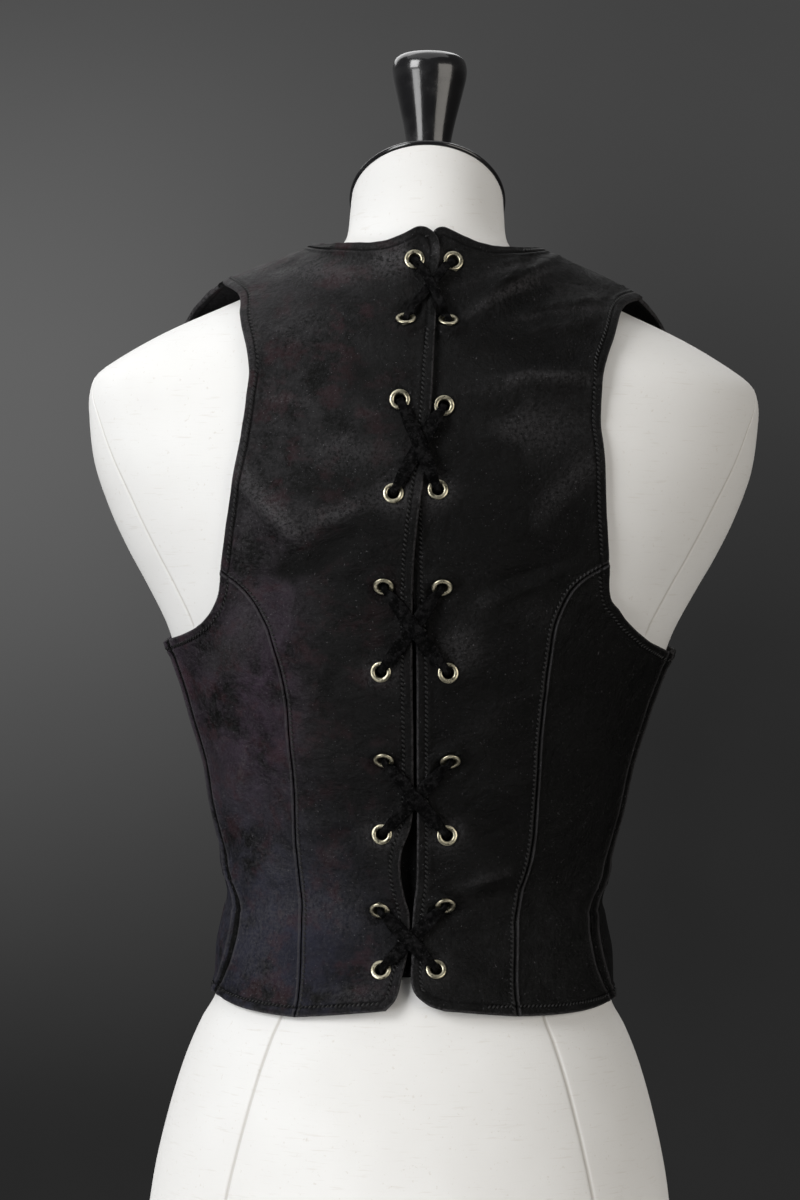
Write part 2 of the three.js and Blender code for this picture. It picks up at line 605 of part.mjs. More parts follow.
// A stretch of lace outside, from one eyelet to another. level is how many laces it passes over.
function crossing(from, to, level) {
  const rings = [];
  for (let k = 1; k < CROSSING.steps; k++) {
    const s = k / CROSSING.steps;
    const fromEnd = Math.min(s, 1 - s);
    const x = THREE.MathUtils.lerp(from.x, to.x, s);
    const z = THREE.MathUtils.lerp(from.z, to.z, s);
    const { t, h } = behind([x, z], "right");
    const middle = Math.exp(-(((s - 0.5) / CROSSING.middle) ** 2));
    const reach = fromEnd * Math.hypot(from.x - to.x, from.z - to.z);
    const nearEyelet = 1 - smooth(EYELET.flange + 1.5, 2.3 * EYELET.flange, reach);
    const rise =
      WALL +
      overRight(x, z) +
      LACE.thick / 2 +
      LACE.clear +
      TURNED_EDGE * smooth(...CROSSING.turned, fromEnd) +
      Math.max(nearEyelet * EYELET.crest, middle * level * (LACE.thick + CROSSING.over));
    const width = LACE.bunched + (LACE.width - LACE.bunched) * smooth(0, CROSSING.widened, fromEnd);
    rings.push({ at: leather(t, h, rise, "right"), out: normal(t, h), width, thick: LACE.thick });
  }
  return rings;
}

// The lace through one eyelet, along its bore. outside and inside are the directions in which it leaves.
function through(place, outside, inside) {
  const out = place.out;
  const flat = (d) => d.clone().addScaledVector(out, -d.dot(out)).normalize();
  const away = flat(outside);
  const within = flat(inside);
  const low = -WALL - EYELET.seat - EYELET.rolled;
  const widthAway = out.clone().cross(away);
  const widthWithin = out.clone().cross(within);
  if (widthAway.dot(widthWithin) < 0) widthWithin.negate();
  const ring = (direction, r, y, wide, width, thick) => ({
    at: place.centre.clone().addScaledVector(direction, r).addScaledVector(out, y),
    wide,
    width,
    thick,
  });
  const half = widthAway.clone().add(widthWithin).normalize();
  const over = EYELET.crest + LACE.thick / 2 + LACE.clear;
  const under = low - LACE.thick / 2 - LACE.clear;
  const narrow = LACE.bunched;
  return [
    ring(away, 4.4, over, widthAway, narrow + 1.2, LACE.thick),
    ring(away, 1.6, over, widthAway, narrow + 0.4, LACE.thick),
    ring(away, 0.1, EYELET.crest - 0.6, widthAway, narrow, LACE.bunchedThick),
    ring(away, 0, (low + EYELET.crest) / 2, half, narrow, LACE.bunchedThick),
    ring(within, 0.1, low + 0.6, widthWithin, narrow, LACE.bunchedThick),
    ring(within, 1.6, under, widthWithin, narrow + 0.4, LACE.thick),
    ring(within, 4.4, under, widthWithin, narrow + 1.2, LACE.thick),
  ];
}

// A stretch of lace behind the leather, from one eyelet to the next
function behindLeather(from, to) {
  const rings = [];
  const deep = -EYELET.seat - EYELET.rolled - LACE.thick / 2 - LACE.clear;
  const width = LACE.width - HIDDEN.narrower;
  for (let k = 1; k < HIDDEN.steps; k++) {
    const s = k / HIDDEN.steps;
    const x = THREE.MathUtils.lerp(from.x, to.x, s);
    const z = THREE.MathUtils.lerp(from.z, to.z, s);
    const side = from.side === to.side ? from.side : "right";
    const { t, h } = behind([x, z], side);
    rings.push({ at: leather(t, h, deep, side), out: normal(t, h), width, thick: LACE.thick });
  }
  return rings;
}

// Closed ribbon through rings, each with a place, a width and a thickness
function ribbon(rings) {
  const positions = [];
  const triangles = [];
  let before = null;
  rings.forEach((ring, k) => {
    const next = rings[Math.min(k + 1, rings.length - 1)].at;
    const along = next.clone().sub(rings[Math.max(k - 1, 0)].at).normalize();
    let wide = ring.wide ? ring.wide.clone() : along.clone().cross(ring.out);
    wide.addScaledVector(along, -wide.dot(along)).normalize();
    if (before && wide.dot(before) < 0) wide.negate();
    before = wide;
    const face = along.clone().cross(wide);
    for (const [w, f] of [[-1, -1], [1, -1], [1, 1], [-1, 1]]) {
      positions.push(
        ring.at
          .clone()
          .addScaledVector(wide, (w * ring.width) / 2)
          .addScaledVector(face, (f * ring.thick) / 2),
      );
    }
    if (k) {
      for (let i = 0; i < 4; i++) {
        const a = 4 * (k - 1) + i;
        const b = 4 * (k - 1) + ((i + 1) % 4);
        triangles.push([a, b, b + 4], [a, b + 4, a + 4]);
      }
    }
  });
  const end = positions.length - 4;
  triangles.push([0, 2, 1], [0, 3, 2], [end, end + 1, end + 2], [end, end + 2, end + 3]);
  return closed(positions, triangles);
}

// One lace: crossed outside between rows 1 and 2, 3 and 4 and so on, straight behind the others
function lace() {
  const last = eyelets.length - 1;
  const other = { left: "right", right: "left" };
  const tuck = new THREE.Vector3(0, 0, -1);
  // Sides swap at each crossing, and a straight run behind stays on its side
  const order = (side) => {
    let now = side;
    return eyelets.map((row, k) => {
      if (k % 2 === 1) now = other[now];
      return row[now];
    });
  };
  const half = (side) => {
    const places = order(side);
    const rings = behindLeather({ ...places[0], z: places[0].z - LACE.tucked }, places[0]).slice(0, 2);
    places.forEach((place, k) => {
      const outsideTo = k % 2 === 0 ? places[k + 1] : places[k - 1];
      const insideTo = k % 2 === 0 ? places[k - 1] : places[k + 1];
      const outside = outsideTo.centre.clone().sub(place.centre);
      const across = k === last ? order(other[side])[last].centre.clone().sub(place.centre) : null;
      const inside = insideTo ? insideTo.centre.clone().sub(place.centre) : across || tuck.clone();
      const rows = through(place, outside, inside);
      rings.push(...(k % 2 === 0 ? rows.reverse() : rows));
      if (k % 2 === 0) {
        rings.push(...crossing(place, places[k + 1], place.side === "left" ? 1 : 0));
      } else if (k < last) {
        rings.push(...behindLeather(place, places[k + 1]));
      }
    });
    return rings;
  };
  const down = half("left");
  const up = half("right").reverse();
  const lowest = [down.at(-1), up[0]];
  const bar = {
    at: lowest[0].at.clone().lerp(lowest[1].at, 0.5),
    out: eyelets[last].left.out,
    width: LACE.bunched + 1.2,
    thick: LACE.thick,
  };
  add("lace", ribbon([...down, bar, ...up]), FINISH.lace);
}

// The dress form: rings round the body, closed flat below and on the slope of the neck above
function formTorso() {
  const positions = [];
  const triangles = [];
  FORM_HEIGHTS.forEach((h, j) => {
    for (let i = 0; i < FORM_SIDES; i++) {
      positions.push(skin((360 * i) / FORM_SIDES, h));
      const a = FORM_SIDES * (j - 1) + i;
      const b = FORM_SIDES * (j - 1) + ((i + 1) % FORM_SIDES);
      if (j) triangles.push([a, b, b + FORM_SIDES], [a, b + FORM_SIDES, a + FORM_SIDES]);
    }
  });
  const bottom = positions.push(new THREE.Vector3(0, 0, 0)) - 1;
  const top = positions.push(new THREE.Vector3(0, 0, NECK_TOP)) - 1;
  const rim = FORM_SIDES * (FORM_HEIGHTS.length - 1);
  for (let i = 0; i < FORM_SIDES; i++) {
    const next = (i + 1) % FORM_SIDES;
    triangles.push([i, bottom, next], [rim + i, rim + next, top]);
  }
  add("form_torso", closed(positions, triangles), FINISH.linen);
}

// Turned knob: radius and height of its profile above the cap's seat
const FINIAL_SEAT = 706;
const FINIAL_SIDES = 20;
const FINIAL_PROFILE = [
  [0, 0], [10, 0], [10, 12], [13.2, 24], [14.2, 32], [16.2, 42], [18.6, 52], [21, 62], [22.7, 70],
  [22.9, 75], [21.4, 80], [17.6, 83], [10, 84.4], [0, 84.6],
];

function finialSolid(grow) {
  const profile = FINIAL_PROFILE.map(([r, z]) => new THREE.Vector2(r ? r + grow : 0, z === 0 ? -grow : z));
  const knob = new THREE.LatheGeometry(profile, FINIAL_SIDES).rotateX(Math.PI / 2);
  return solid(knob.translate(0, 0, FINIAL_SEAT));
}

function neckCap() {
  const positions = [];
  const triangles = [];
  const rings = [
    { out: CAP.overhang, rise: CAP.clear },
    { out: CAP.overhang + CAP.rounded, rise: CAP.clear + CAP.rim / 2 },
    { out: CAP.overhang - CAP.rounded, rise: CAP.clear + CAP.rim },
    ...CAP_DOME.map(({ out, share }) => ({ out, rise: CAP.rim + share * CAP.dome })),
  ];
  const up = new THREE.Vector3(0, -NECK_TILT, 1).normalize();
  rings.forEach((ring, j) => {
    for (let i = 0; i < CAP.sides; i++) {
      const p = skin((360 * i) / CAP.sides, NECK_TOP);
      const flat = new THREE.Vector3(p.x, p.y, 0).normalize();
      p.addScaledVector(flat, ring.out);
      p.z = NECK_TOP + NECK_TILT * p.y;
      positions.push(p.addScaledVector(up, ring.rise));
      const a = CAP.sides * (j - 1) + i;
      const b = CAP.sides * (j - 1) + ((i + 1) % CAP.sides);
      if (j) triangles.push([a, b, b + CAP.sides], [a, b + CAP.sides, a + CAP.sides]);
    }
  });
  const bottom = positions.push(new THREE.Vector3(0, 0, NECK_TOP).addScaledVector(up, CAP.clear)) - 1;
  const top = positions.push(new THREE.Vector3(0, 0, NECK_TOP).addScaledVector(up, CAP.rim + CAP.dome)) - 1;
  const rim = CAP.sides * (rings.length - 1);
  for (let i = 0; i < CAP.sides; i++) {
    const next = (i + 1) % CAP.sides;
    triangles.push([i, bottom, next], [rim + i, rim + next, top]);
  }
  const cap = solid(closed(positions, triangles)).subtract(finialSolid(CAP.clear));
  add("neck_cap", surface(cap), FINISH.lacquer);
  add("finial", surface(finialSolid(0)), FINISH.lacquer);
}

formTorso();
neckCap();
backPanels("left");
backPanels("right");
frontCentre();
underlap();
eyelets.forEach((row, k) => {
  add(`eyelet_left_${k + 1}`, eyelet(row.left), FINISH.brass);
  add(`eyelet_right_${k + 1}`, eyelet(row.right), FINISH.brass);
});
lace();

export default group;
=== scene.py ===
"""Leather vest laced up the back, standing on a limbless dress form, seen from behind."""
import bpy
import numpy as np
from mathutils import Matrix, Vector
from mathutils.kdtree import KDTree


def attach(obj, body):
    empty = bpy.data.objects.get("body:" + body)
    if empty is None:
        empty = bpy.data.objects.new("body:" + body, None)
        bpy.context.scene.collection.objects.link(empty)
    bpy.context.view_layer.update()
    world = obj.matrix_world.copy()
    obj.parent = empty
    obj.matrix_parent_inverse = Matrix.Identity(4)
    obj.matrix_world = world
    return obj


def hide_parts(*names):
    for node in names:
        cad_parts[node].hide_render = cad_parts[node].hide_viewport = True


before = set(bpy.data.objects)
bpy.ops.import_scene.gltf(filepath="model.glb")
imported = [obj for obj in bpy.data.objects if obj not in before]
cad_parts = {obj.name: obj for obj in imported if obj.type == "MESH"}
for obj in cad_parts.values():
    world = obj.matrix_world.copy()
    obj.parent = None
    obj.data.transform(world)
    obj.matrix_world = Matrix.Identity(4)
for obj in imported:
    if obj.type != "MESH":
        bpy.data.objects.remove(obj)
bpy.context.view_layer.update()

MM = 0.001

# The dress form: a limbless bust of stiffened padding under stretched linen, cut flat at the hips.
# The cover is sewn from shaped pieces, so fine seams run over the hips and round the stumps of the
# arms. Its sections are ovals, given in millimetres as half width and depth behind and before.
FORM = [
    # height, half width, behind, before
    (0, 157, 112, 100), (60, 161, 119, 108), (99, 157.5, 120, 110), (136, 150, 117, 110),
    (173, 139.4, 110, 107), (197, 129.5, 103, 104), (209, 122.5, 100, 102), (220, 119, 97, 100),
    (245, 116.5, 88, 95), (265, 113, 83, 91), (286, 111, 80, 90), (307, 113, 81, 91),
    (332, 120, 84, 95), (357, 127, 89, 99), (381, 135, 93, 102), (400, 141, 96, 105),
    (424, 150, 99, 109), (440, 156, 101, 111), (462, 167.6, 103, 112), (484, 180, 105, 111),
    (507, 191, 105.5, 108), (536, 201.2, 103, 100), (568, 205.2, 97, 86), (580, 204.6, 94, 80),
    (590, 200.2, 91, 76), (602, 183.5, 87, 70.5), (617, 157, 81, 64), (632, 124, 73.5, 58),
    (648, 88, 65.5, 53), (656, 69, 61.5, 51), (663, 57, 58.5, 50), (670, 50.6, 55.5, 49.5),
    (677, 48.4, 52.5, 50), (687, 47.4, 50.5, 52), (698, 46.5, 49.5, 55),
]
HALF, BEHIND, BEFORE = 1, 2, 3
NECK_TOP = 698
NECK_BEND = 642
NECK_TILT = 0.58
BUST_ANGLE, BUST_SPREAD, BUST_HEIGHT, BUST_REACH, BUST_LIFT, BUST_BRIDGED = 146, 21, 445, 46, 24, 0.9


def column(table, key, z):
    """Smooth curve through one column of a table, at heights z."""
    rows = np.array(table, float)
    heights, values = rows[:, 0], rows[:, key]
    z = np.clip(np.asarray(z, float), heights[0], heights[-1])
    i = np.clip(np.searchsorted(heights, z, side="right") - 1, 0, len(rows) - 2)
    each = np.arange(len(rows))
    before, after = np.clip(each - 1, 0, None), np.clip(each + 1, None, len(rows) - 1)
    slope = (values[after] - values[before]) / (heights[after] - heights[before])
    span = heights[i + 1] - heights[i]
    f = (z - heights[i]) / span
    return (
        values[i] * (1 + 2 * f) * (1 - f) ** 2
        + values[i + 1] * f * f * (3 - 2 * f)
        + span * (slope[i] * f * (1 - f) ** 2 - slope[i + 1] * f * f * (1 - f))
    )


def ease(low, high, v):
    """A smooth rise from 0 at low to 1 at high."""
    f = np.clip((np.asarray(v, float) - low) / (high - low), 0, 1)
    return f * f * (3 - 2 * f)


def turn(t):
    """Degrees from the spine, 0 to 180, whichever side."""
    return np.abs((np.asarray(t, float) + 180) % 360 - 180)


def skin(t, h, bridged=0.0):
    """Points of the form's skin at degrees t round it and height h; bridged spans the hollow of the bust."""
    t, h = np.broadcast_arrays(np.asarray(t, float), np.asarray(h, float))
    sine, cosine = np.sin(np.radians(t)), np.cos(np.radians(t))
    off = (turn(t) - BUST_ANGLE) / BUST_SPREAD
    swell = np.exp(-off * off)
    swell = np.where(off > 0, np.maximum(swell, bridged), swell)
    swell = BUST_LIFT * swell * np.exp(-(((h - BUST_HEIGHT) / BUST_REACH) ** 2))
    x = column(FORM, HALF, h) * sine
    y = np.where(cosine >= 0, column(FORM, BEHIND, h) * cosine, column(FORM, BEFORE, h) * cosine - swell)
    slope = NECK_TILT * ease(NECK_BEND, NECK_TOP, h)
    return np.stack([x, y, h + slope * y], axis=-1)


def unit(v):
    """Vectors at length one."""
    return v / np.maximum(np.linalg.norm(v, axis=-1, keepdims=True), 1e-9)


def outward(t, h, bridged=BUST_BRIDGED):
    """Directions square to the form's skin."""
    across = skin(t + 1, h, bridged) - skin(t - 1, h, bridged)
    up = skin(t, h + 1, bridged) - skin(t, h - 1, bridged)
    return unit(np.cross(up, across))


def cells(rows, columns, ring=False, first=0):
    """Four-sided faces of a grid of points, wrapped round when it is a ring."""
    faces = []
    for j in range(rows - 1):
        for i in range(columns if ring else columns - 1):
            k = (i + 1) % columns
            faces.append((first + j * columns + i, first + j * columns + k,
                          first + (j + 1) * columns + k, first + (j + 1) * columns + i))
    return faces


def piece(name, points, faces, finish, marks=None):
    """A smooth mesh from points in millimetres, riding on the frame. marks are values kept at its points."""
    mesh = bpy.data.meshes.new(name)
    mesh.from_pydata((np.asarray(points) * MM).tolist(), [], [tuple(f) for f in faces])
    mesh.polygons.foreach_set("use_smooth", [True] * len(mesh.polygons))
    for key, values in (marks or {}).items():
        kept_values = mesh.attributes.new(key, "FLOAT", "POINT").data
        kept_values.foreach_set("value", np.asarray(values, float).ravel())
    mesh.materials.append(finish)
    made = bpy.data.objects.new(name, mesh)
    bpy.context.scene.collection.objects.link(made)
    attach(made, "root")
    return made


class Amount:
    """A number, colour or vector in a finish that varies over the surface."""

    def __init__(self, finish, socket):
        self.finish, self.socket = finish, socket

    def combine(self, operation, a, b):
        return self.finish.node("ShaderNodeMath", {"operation": operation}, {0: a, 1: b})

    def __add__(self, other): return self.combine("ADD", self, other)
    def __radd__(self, other): return self.combine("ADD", other, self)
    def __sub__(self, other): return self.combine("SUBTRACT", self, other)
    def __rsub__(self, other): return self.combine("SUBTRACT", other, self)
    def __mul__(self, other): return self.combine("MULTIPLY", self, other)
    def __rmul__(self, other): return self.combine("MULTIPLY", other, self)


class Finish:
    """A material written as expressions on Amounts."""

    def __init__(self, name, owner=None, **fixed):
        self.material = owner or bpy.data.materials.new(name)
        self.material.use_nodes = True
        self.tree = self.material.node_tree
        self.shader = self.tree.nodes["Background" if owner else "Principled BSDF"]
        for socket, value in fixed.items():
            self.shader.inputs[socket.replace("_", " ")].default_value = value

    def node(self, kind, settings, values, output=0):
        made = self.tree.nodes.new(kind)
        for key, value in settings.items():
            setattr(made, key, value)
        for key, value in values.items():
            if isinstance(value, Amount):
                self.tree.links.new(value.socket, made.inputs[key])
            elif isinstance(value, tuple) and len(value) == 3 and made.inputs[key].type == "RGBA":
                made.inputs[key].default_value = (*value, 1)
            else:
                made.inputs[key].default_value = value
        return Amount(self, made.outputs[output])

    def place(self):
        return self.node("ShaderNodeTexCoord", {}, {}, "Object")

    def part(self, v, axis):
        """One coordinate of a vector: 0, 1 or 2."""
        return self.node("ShaderNodeSeparateXYZ", {}, {"Vector": v}, axis)

    def mark(self, name):
        return self.node("ShaderNodeAttribute", {"attribute_name": name}, {}, "Fac")

    def noise(self, at, scale, detail=4, rough=0.5, warp=0.0):
        values = {"Vector": at, "Scale": scale, "Detail": detail, "Roughness": rough, "Distortion": warp}
        return self.node("ShaderNodeTexNoise", {}, values, "Fac")

    def stretch(self, at, scale):
        return self.node("ShaderNodeVectorMath", {"operation": "MULTIPLY"}, {0: at, 1: scale})

    def apart(self, v, middle):
        return self.node("ShaderNodeMath", {"operation": "ABSOLUTE"}, {0: v - middle})

    def step(self, v, low, high, least=0.0, most=1.0):
        values = {"Value": v, "From Min": low, "From Max": high, "To Min": least, "To Max": most}
        return self.node("ShaderNodeMapRange", {"interpolation_type": "SMOOTHSTEP"}, values)

    def mix(self, share, a, b):
        return self.node("ShaderNodeMix", {"data_type": "RGBA"}, {0: share, 6: a, 7: b}, 2)

    def bump(self, height, strength, distance):
        return self.node("ShaderNodeBump", {}, {"Height": height, "Strength": strength, "Distance": distance})

    def feed(self, **links):
        for socket, amount in links.items():
            self.tree.links.new(amount.socket, self.shader.inputs[socket.replace("_", " ")])
        return self.material


linen = Finish("linen", Specular_IOR_Level=0.25, Sheen_Weight=0.15, Sheen_Roughness=0.5)
at = linen.place()
warp = linen.noise(linen.stretch(at, (900, 900, 120)), 1, 2)
weft = linen.noise(linen.stretch(at, (120, 120, 900)), 1, 2)
weave = warp * 0.5 + weft * 0.5
slub = linen.step(linen.noise(linen.stretch(at, (60, 60, 700)), 1, 3), 0.6, 0.75)
fleck = linen.step(linen.noise(at, 420, 2), 0.66, 0.76)
cloud = linen.noise(at, 9, 3)
sunk = linen.mark("sunk")
cloth = linen.mix(linen.step(cloud, 0.3, 0.7), (0.78, 0.775, 0.76), (0.84, 0.84, 0.83))
cloth = linen.mix(slub * 0.25 + fleck * 0.35, cloth, (0.60, 0.56, 0.50))
# The sunken seams of the cover darkened: painted shade in their grooves
cloth = linen.mix(linen.step(sunk, 0.15, 0.9) * 0.5, cloth, (0.42, 0.39, 0.35))
LINEN = linen.feed(
    Base_Color=cloth,
    Roughness=linen.step(weave, 0.3, 0.7, 0.88, 0.97),
    Normal=linen.bump(weave + slub * 0.3, 0.25, 0.0004),
)

# Rows of the grid, the seams' width and depth, and how many degrees beside them the columns crowd
FORM_UP, SEAM_WIDTH, SEAM_SUNK, SEAM_CLEAR = 190, 1.1, 0.7, 1.6
BOTTOM_ROUNDED, BOTTOM_DRAWN_IN = 2, 0.008
# Seams of the cover: height and degrees round from the spine, and the heights that they run between
HIP_SEAM = [(0, 47), (87, 44), (207, 39.4), (260, 39)]
STUMP_SEAM = [(430, 62), (440, 61), (516, 64.5), (560, 73), (593, 86), (604, 90)]
HIP_SEAM_ENDS, STUMP_SEAM_ENDS = (-1, 330), (436, 603)


def form_angles(h):
    """Angles of the grid's columns at height h, crowded along the cover's seams."""
    hip, stump = float(column(HIP_SEAM, 1, h)), float(column(STUMP_SEAM, 1, h))
    near = np.array([-1.1, -0.7, -0.4, -0.2, 0, 0.2, 0.4, 0.7, 1.1])
    right = np.concatenate([
        np.linspace(0, hip - SEAM_CLEAR, 20), hip + near,
        np.linspace(hip + SEAM_CLEAR, stump - SEAM_CLEAR, 12), stump + near,
        np.linspace(stump + SEAM_CLEAR, 180, 44),
    ])
    return np.concatenate([right, -right[-2:0:-1]]), hip, stump


levels = np.concatenate([[0, 0.6, 2, 5], np.linspace(9, NECK_TOP - 2, FORM_UP), [NECK_TOP - 0.6, NECK_TOP]])
points, sunken = [], []
for h in levels:
    angles, hip, stump = form_angles(h)
    girth = np.radians(1) * column(FORM, HALF, h)
    groove = np.zeros(len(angles))
    for seam, (low, high) in ((hip, HIP_SEAM_ENDS), (stump, STUMP_SEAM_ENDS)):
        if low < h < high:
            beside = np.exp(-(((np.abs(angles) - seam) * girth * 0.8 / SEAM_WIDTH) ** 2))
            groove = np.maximum(groove, beside)
    level = np.full(len(angles), h)
    row = skin(angles, level) - outward(angles, level, 0) * (groove * SEAM_SUNK)[:, None]
    row[:, :2] *= 1 - max(0, 1 - h / BOTTOM_ROUNDED) * BOTTOM_DRAWN_IN
    points.append(row)
    sunken.append(groove)
around = len(points[0])
points = np.array(points).reshape(-1, 3)
faces = cells(len(levels), around, ring=True)
bottom, top = len(points), len(points) + 1
points = np.vstack([points, [[0, 0, 0], [0, 0, NECK_TOP]]])
rim = (len(levels) - 1) * around
faces += [(i, bottom, (i + 1) % around) for i in range(around)]
faces += [(rim + i, rim + (i + 1) % around, top) for i in range(around)]
faces = [f[::-1] for f in faces]
form = piece("form_cover", points, faces, LINEN, {"sunk": np.append(np.ravel(sunken), [0, 0])})
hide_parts("form_torso")

# The neck cap: a turned wooden lid in glossy black lacquer, which closes the neck on its slope with
# a low dome. The finial is turned in one length, slim where it enters the cap and wide at the top.
CAP_OVERHANG, CAP_RIM, CAP_DOME, CAP_CLEAR = 0.9, 2.8, 12, 0.3
CAP_AROUND, CAP_RINGS = 120, 40
FINIAL_SEAT, FINIAL_SIDES = 706, 64
FINIAL = [
    (0, 0), (10, 0), (10, 12), (13.2, 24), (14.2, 32), (16.2, 42), (18.6, 52), (21, 62), (22.7, 70),
    (22.9, 75), (21.4, 80), (17.6, 83), (10, 84.4), (0, 84.6),
]
lacquer = Finish("lacquer", Metallic=0.0, Coat_Weight=0.6, Coat_Roughness=0.06)
at = lacquer.place()
orange = lacquer.noise(at, 260, 2)
dust = lacquer.step(lacquer.noise(at, 1500, 2), 0.72, 0.8)
wear = lacquer.step(lacquer.noise(at, 45, 5, 0.65), 0.45, 0.75)
LACQUER = lacquer.feed(
    Base_Color=lacquer.mix(dust * 0.5 + wear * 0.2, (0.010, 0.010, 0.011), (0.06, 0.06, 0.062)),
    Roughness=0.2 + wear * 0.14 + dust * 0.3,
    Normal=lacquer.bump(orange, 0.12, 0.0006),
)


def with_ends(p):
    """Places with one more at either end, as far out as the last ones are apart."""
    return np.vstack([2 * p[0] - p[1], p, 2 * p[-1] - p[-2]])


def bent(b, c, m1, m2, f):
    """The cubic from b to c with slopes m1 and m2, at shares f."""
    return b + m1 * f + (-3 * b + 3 * c - 2 * m1 - m2) * f**2 + (2 * b - 2 * c + m1 + m2) * f**3


def curve(places, fractions):
    """A smooth line through places, at shares of its length."""
    p = with_ends(np.array(places, float))
    dense = []
    for a, b, c, d in zip(p[:-3], p[1:-2], p[2:-1], p[3:]):
        s0, s1, s2 = (max(np.linalg.norm(v), 1e-6) ** 0.5 for v in (b - a, c - b, d - c))
        m1 = ((b - a) / s0 - (c - a) / (s0 + s1) + (c - b) / s1) * s1
        m2 = ((c - b) / s1 - (d - b) / (s1 + s2) + (d - c) / s2) * s1
        f = np.linspace(0, 1, 41)[:-1, None]
        dense.append(bent(b, c, m1, m2, f))
    dense = np.vstack([*dense, p[-2:-1]])
    along = np.append(0, np.cumsum(np.linalg.norm(np.diff(dense, axis=0), axis=1)))
    wanted = np.asarray(fractions) * along[-1]
    return np.stack([np.interp(wanted, along, values) for values in dense.T], axis=-1)


def turned(profile, sides):
    """Points and faces of a profile of radius and height, turned round the vertical axis."""
    angle = np.linspace(0, 2 * np.pi, sides, endpoint=False)
    rings = [np.stack([r * np.cos(angle), r * np.sin(angle), np.full(sides, z)], axis=-1) for r, z in profile]
    return np.vstack(rings), cells(len(profile), sides, ring=True)


profile = np.vstack([curve(FINIAL[1:3], np.linspace(0, 1, 6)), curve(FINIAL[2:], np.linspace(0, 1, 70))[1:]])
profile[:, 0] = np.maximum(profile[:, 0], 0.05)
points, faces = turned(profile, FINIAL_SIDES)
points[:, 2] += FINIAL_SEAT
finial = piece("knob", points, faces + [tuple(range(FINIAL_SIDES))[::-1]], LACQUER)
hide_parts("finial")

cap_profile = curve(
    [(CAP_OVERHANG - 0.5, 0), (CAP_OVERHANG, 0.35), (CAP_OVERHANG + 0.6, CAP_RIM / 2),
     (CAP_OVERHANG + 0.1, CAP_RIM - 0.3), (CAP_OVERHANG - 0.9, CAP_RIM), (-9, CAP_RIM + 0.45 * CAP_DOME),
     (-24, CAP_RIM + 0.86 * CAP_DOME), (-34, CAP_RIM + 0.98 * CAP_DOME)],
    np.linspace(0, 1, CAP_RINGS),
)
angles = np.linspace(0, 360, CAP_AROUND, endpoint=False)
slope_up = unit(np.array([0, -NECK_TILT, 1.0]))
rings = []
for out, rise in cap_profile:
    ring = skin(angles, np.full(CAP_AROUND, NECK_TOP))
    flat = unit(ring * np.array([1, 1, 0]))
    ring = ring + flat * out
    ring[:, 2] = NECK_TOP + NECK_TILT * ring[:, 1]
    rings.append(ring + slope_up * (rise + CAP_CLEAR))
points = np.vstack(rings)
centre = np.array([0, 0, NECK_TOP]) + slope_up * CAP_CLEAR
points = np.vstack([points, centre, centre + slope_up * (CAP_RIM + CAP_DOME)])
faces = cells(CAP_RINGS, CAP_AROUND, ring=True)
bottom = CAP_RINGS * CAP_AROUND
rim = bottom - CAP_AROUND
faces += [(i, bottom, (i + 1) % CAP_AROUND) for i in range(CAP_AROUND)]
faces += [(rim + i, rim + (i + 1) % CAP_AROUND, bottom + 1) for i in range(CAP_AROUND)]
cap = piece("neck_lid", points, [f[::-1] for f in faces], LACQUER)
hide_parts("neck_cap")

# The leather panels: two centre panels and two side panels behind, two side panels and one centre
# panel in front, cut from soft dark nubuck and joined by seams from armhole to hem, at the sides and
# on the shoulders. Every open edge is turned in and stitched down. The left edge laps over the right.
WALL = 1.8
TURNED_EDGE = 0.8
SEAM_GAP = 0.6
# The lift of the left edge over the right one, the heights that it starts and is full at, and the
# distances from the spine that it is full and ends at
OVERLAP_LIFT, OVERLAP_HEIGHTS, OVERLAP_REACH = 3.5, (402, 434), (28, 62)
LEAST_ROOM = 0.9
EDGE_STITCH = 5.6
SEAM_STITCH = 2.0
ROOM_ANGLES = [0, 40, 90, 144, 180]
ROOM = [
    # height, then room at the spine, blade, side, bust and front
    (205, 6.5, 3, 1.2, 3, 2.5), (240, 6.5, 3.2, 2.8, 3, 3), (262, 7, 4, 2.6, 4, 4), (290, 8, 5.5, 5.2, 5, 6),
    (310, 8, 6, 6.6, 5, 7), (335, 7.5, 5, 5.5, 4.5, 7), (360, 7, 4, 3.4, 3.5, 6), (424, 6.5, 2.6, 3.1, 3, 4),
    (470, 6.5, 1.2, 3.5, 2.6, 4), (570, 6.5, 1.1, 6, 3, 4), (605, 7, 3.5, 9, 5, 4), (630, 7.3, 6, 11.5, 7, 5),
    (637, 7.5, 7, 13.2, 8, 5), (650, 7.8, 8, 12.6, 8.5, 5.5), (661, 8, 8, 8.8, 8.5, 6), (676, 8, 8, 8, 8, 6),
]
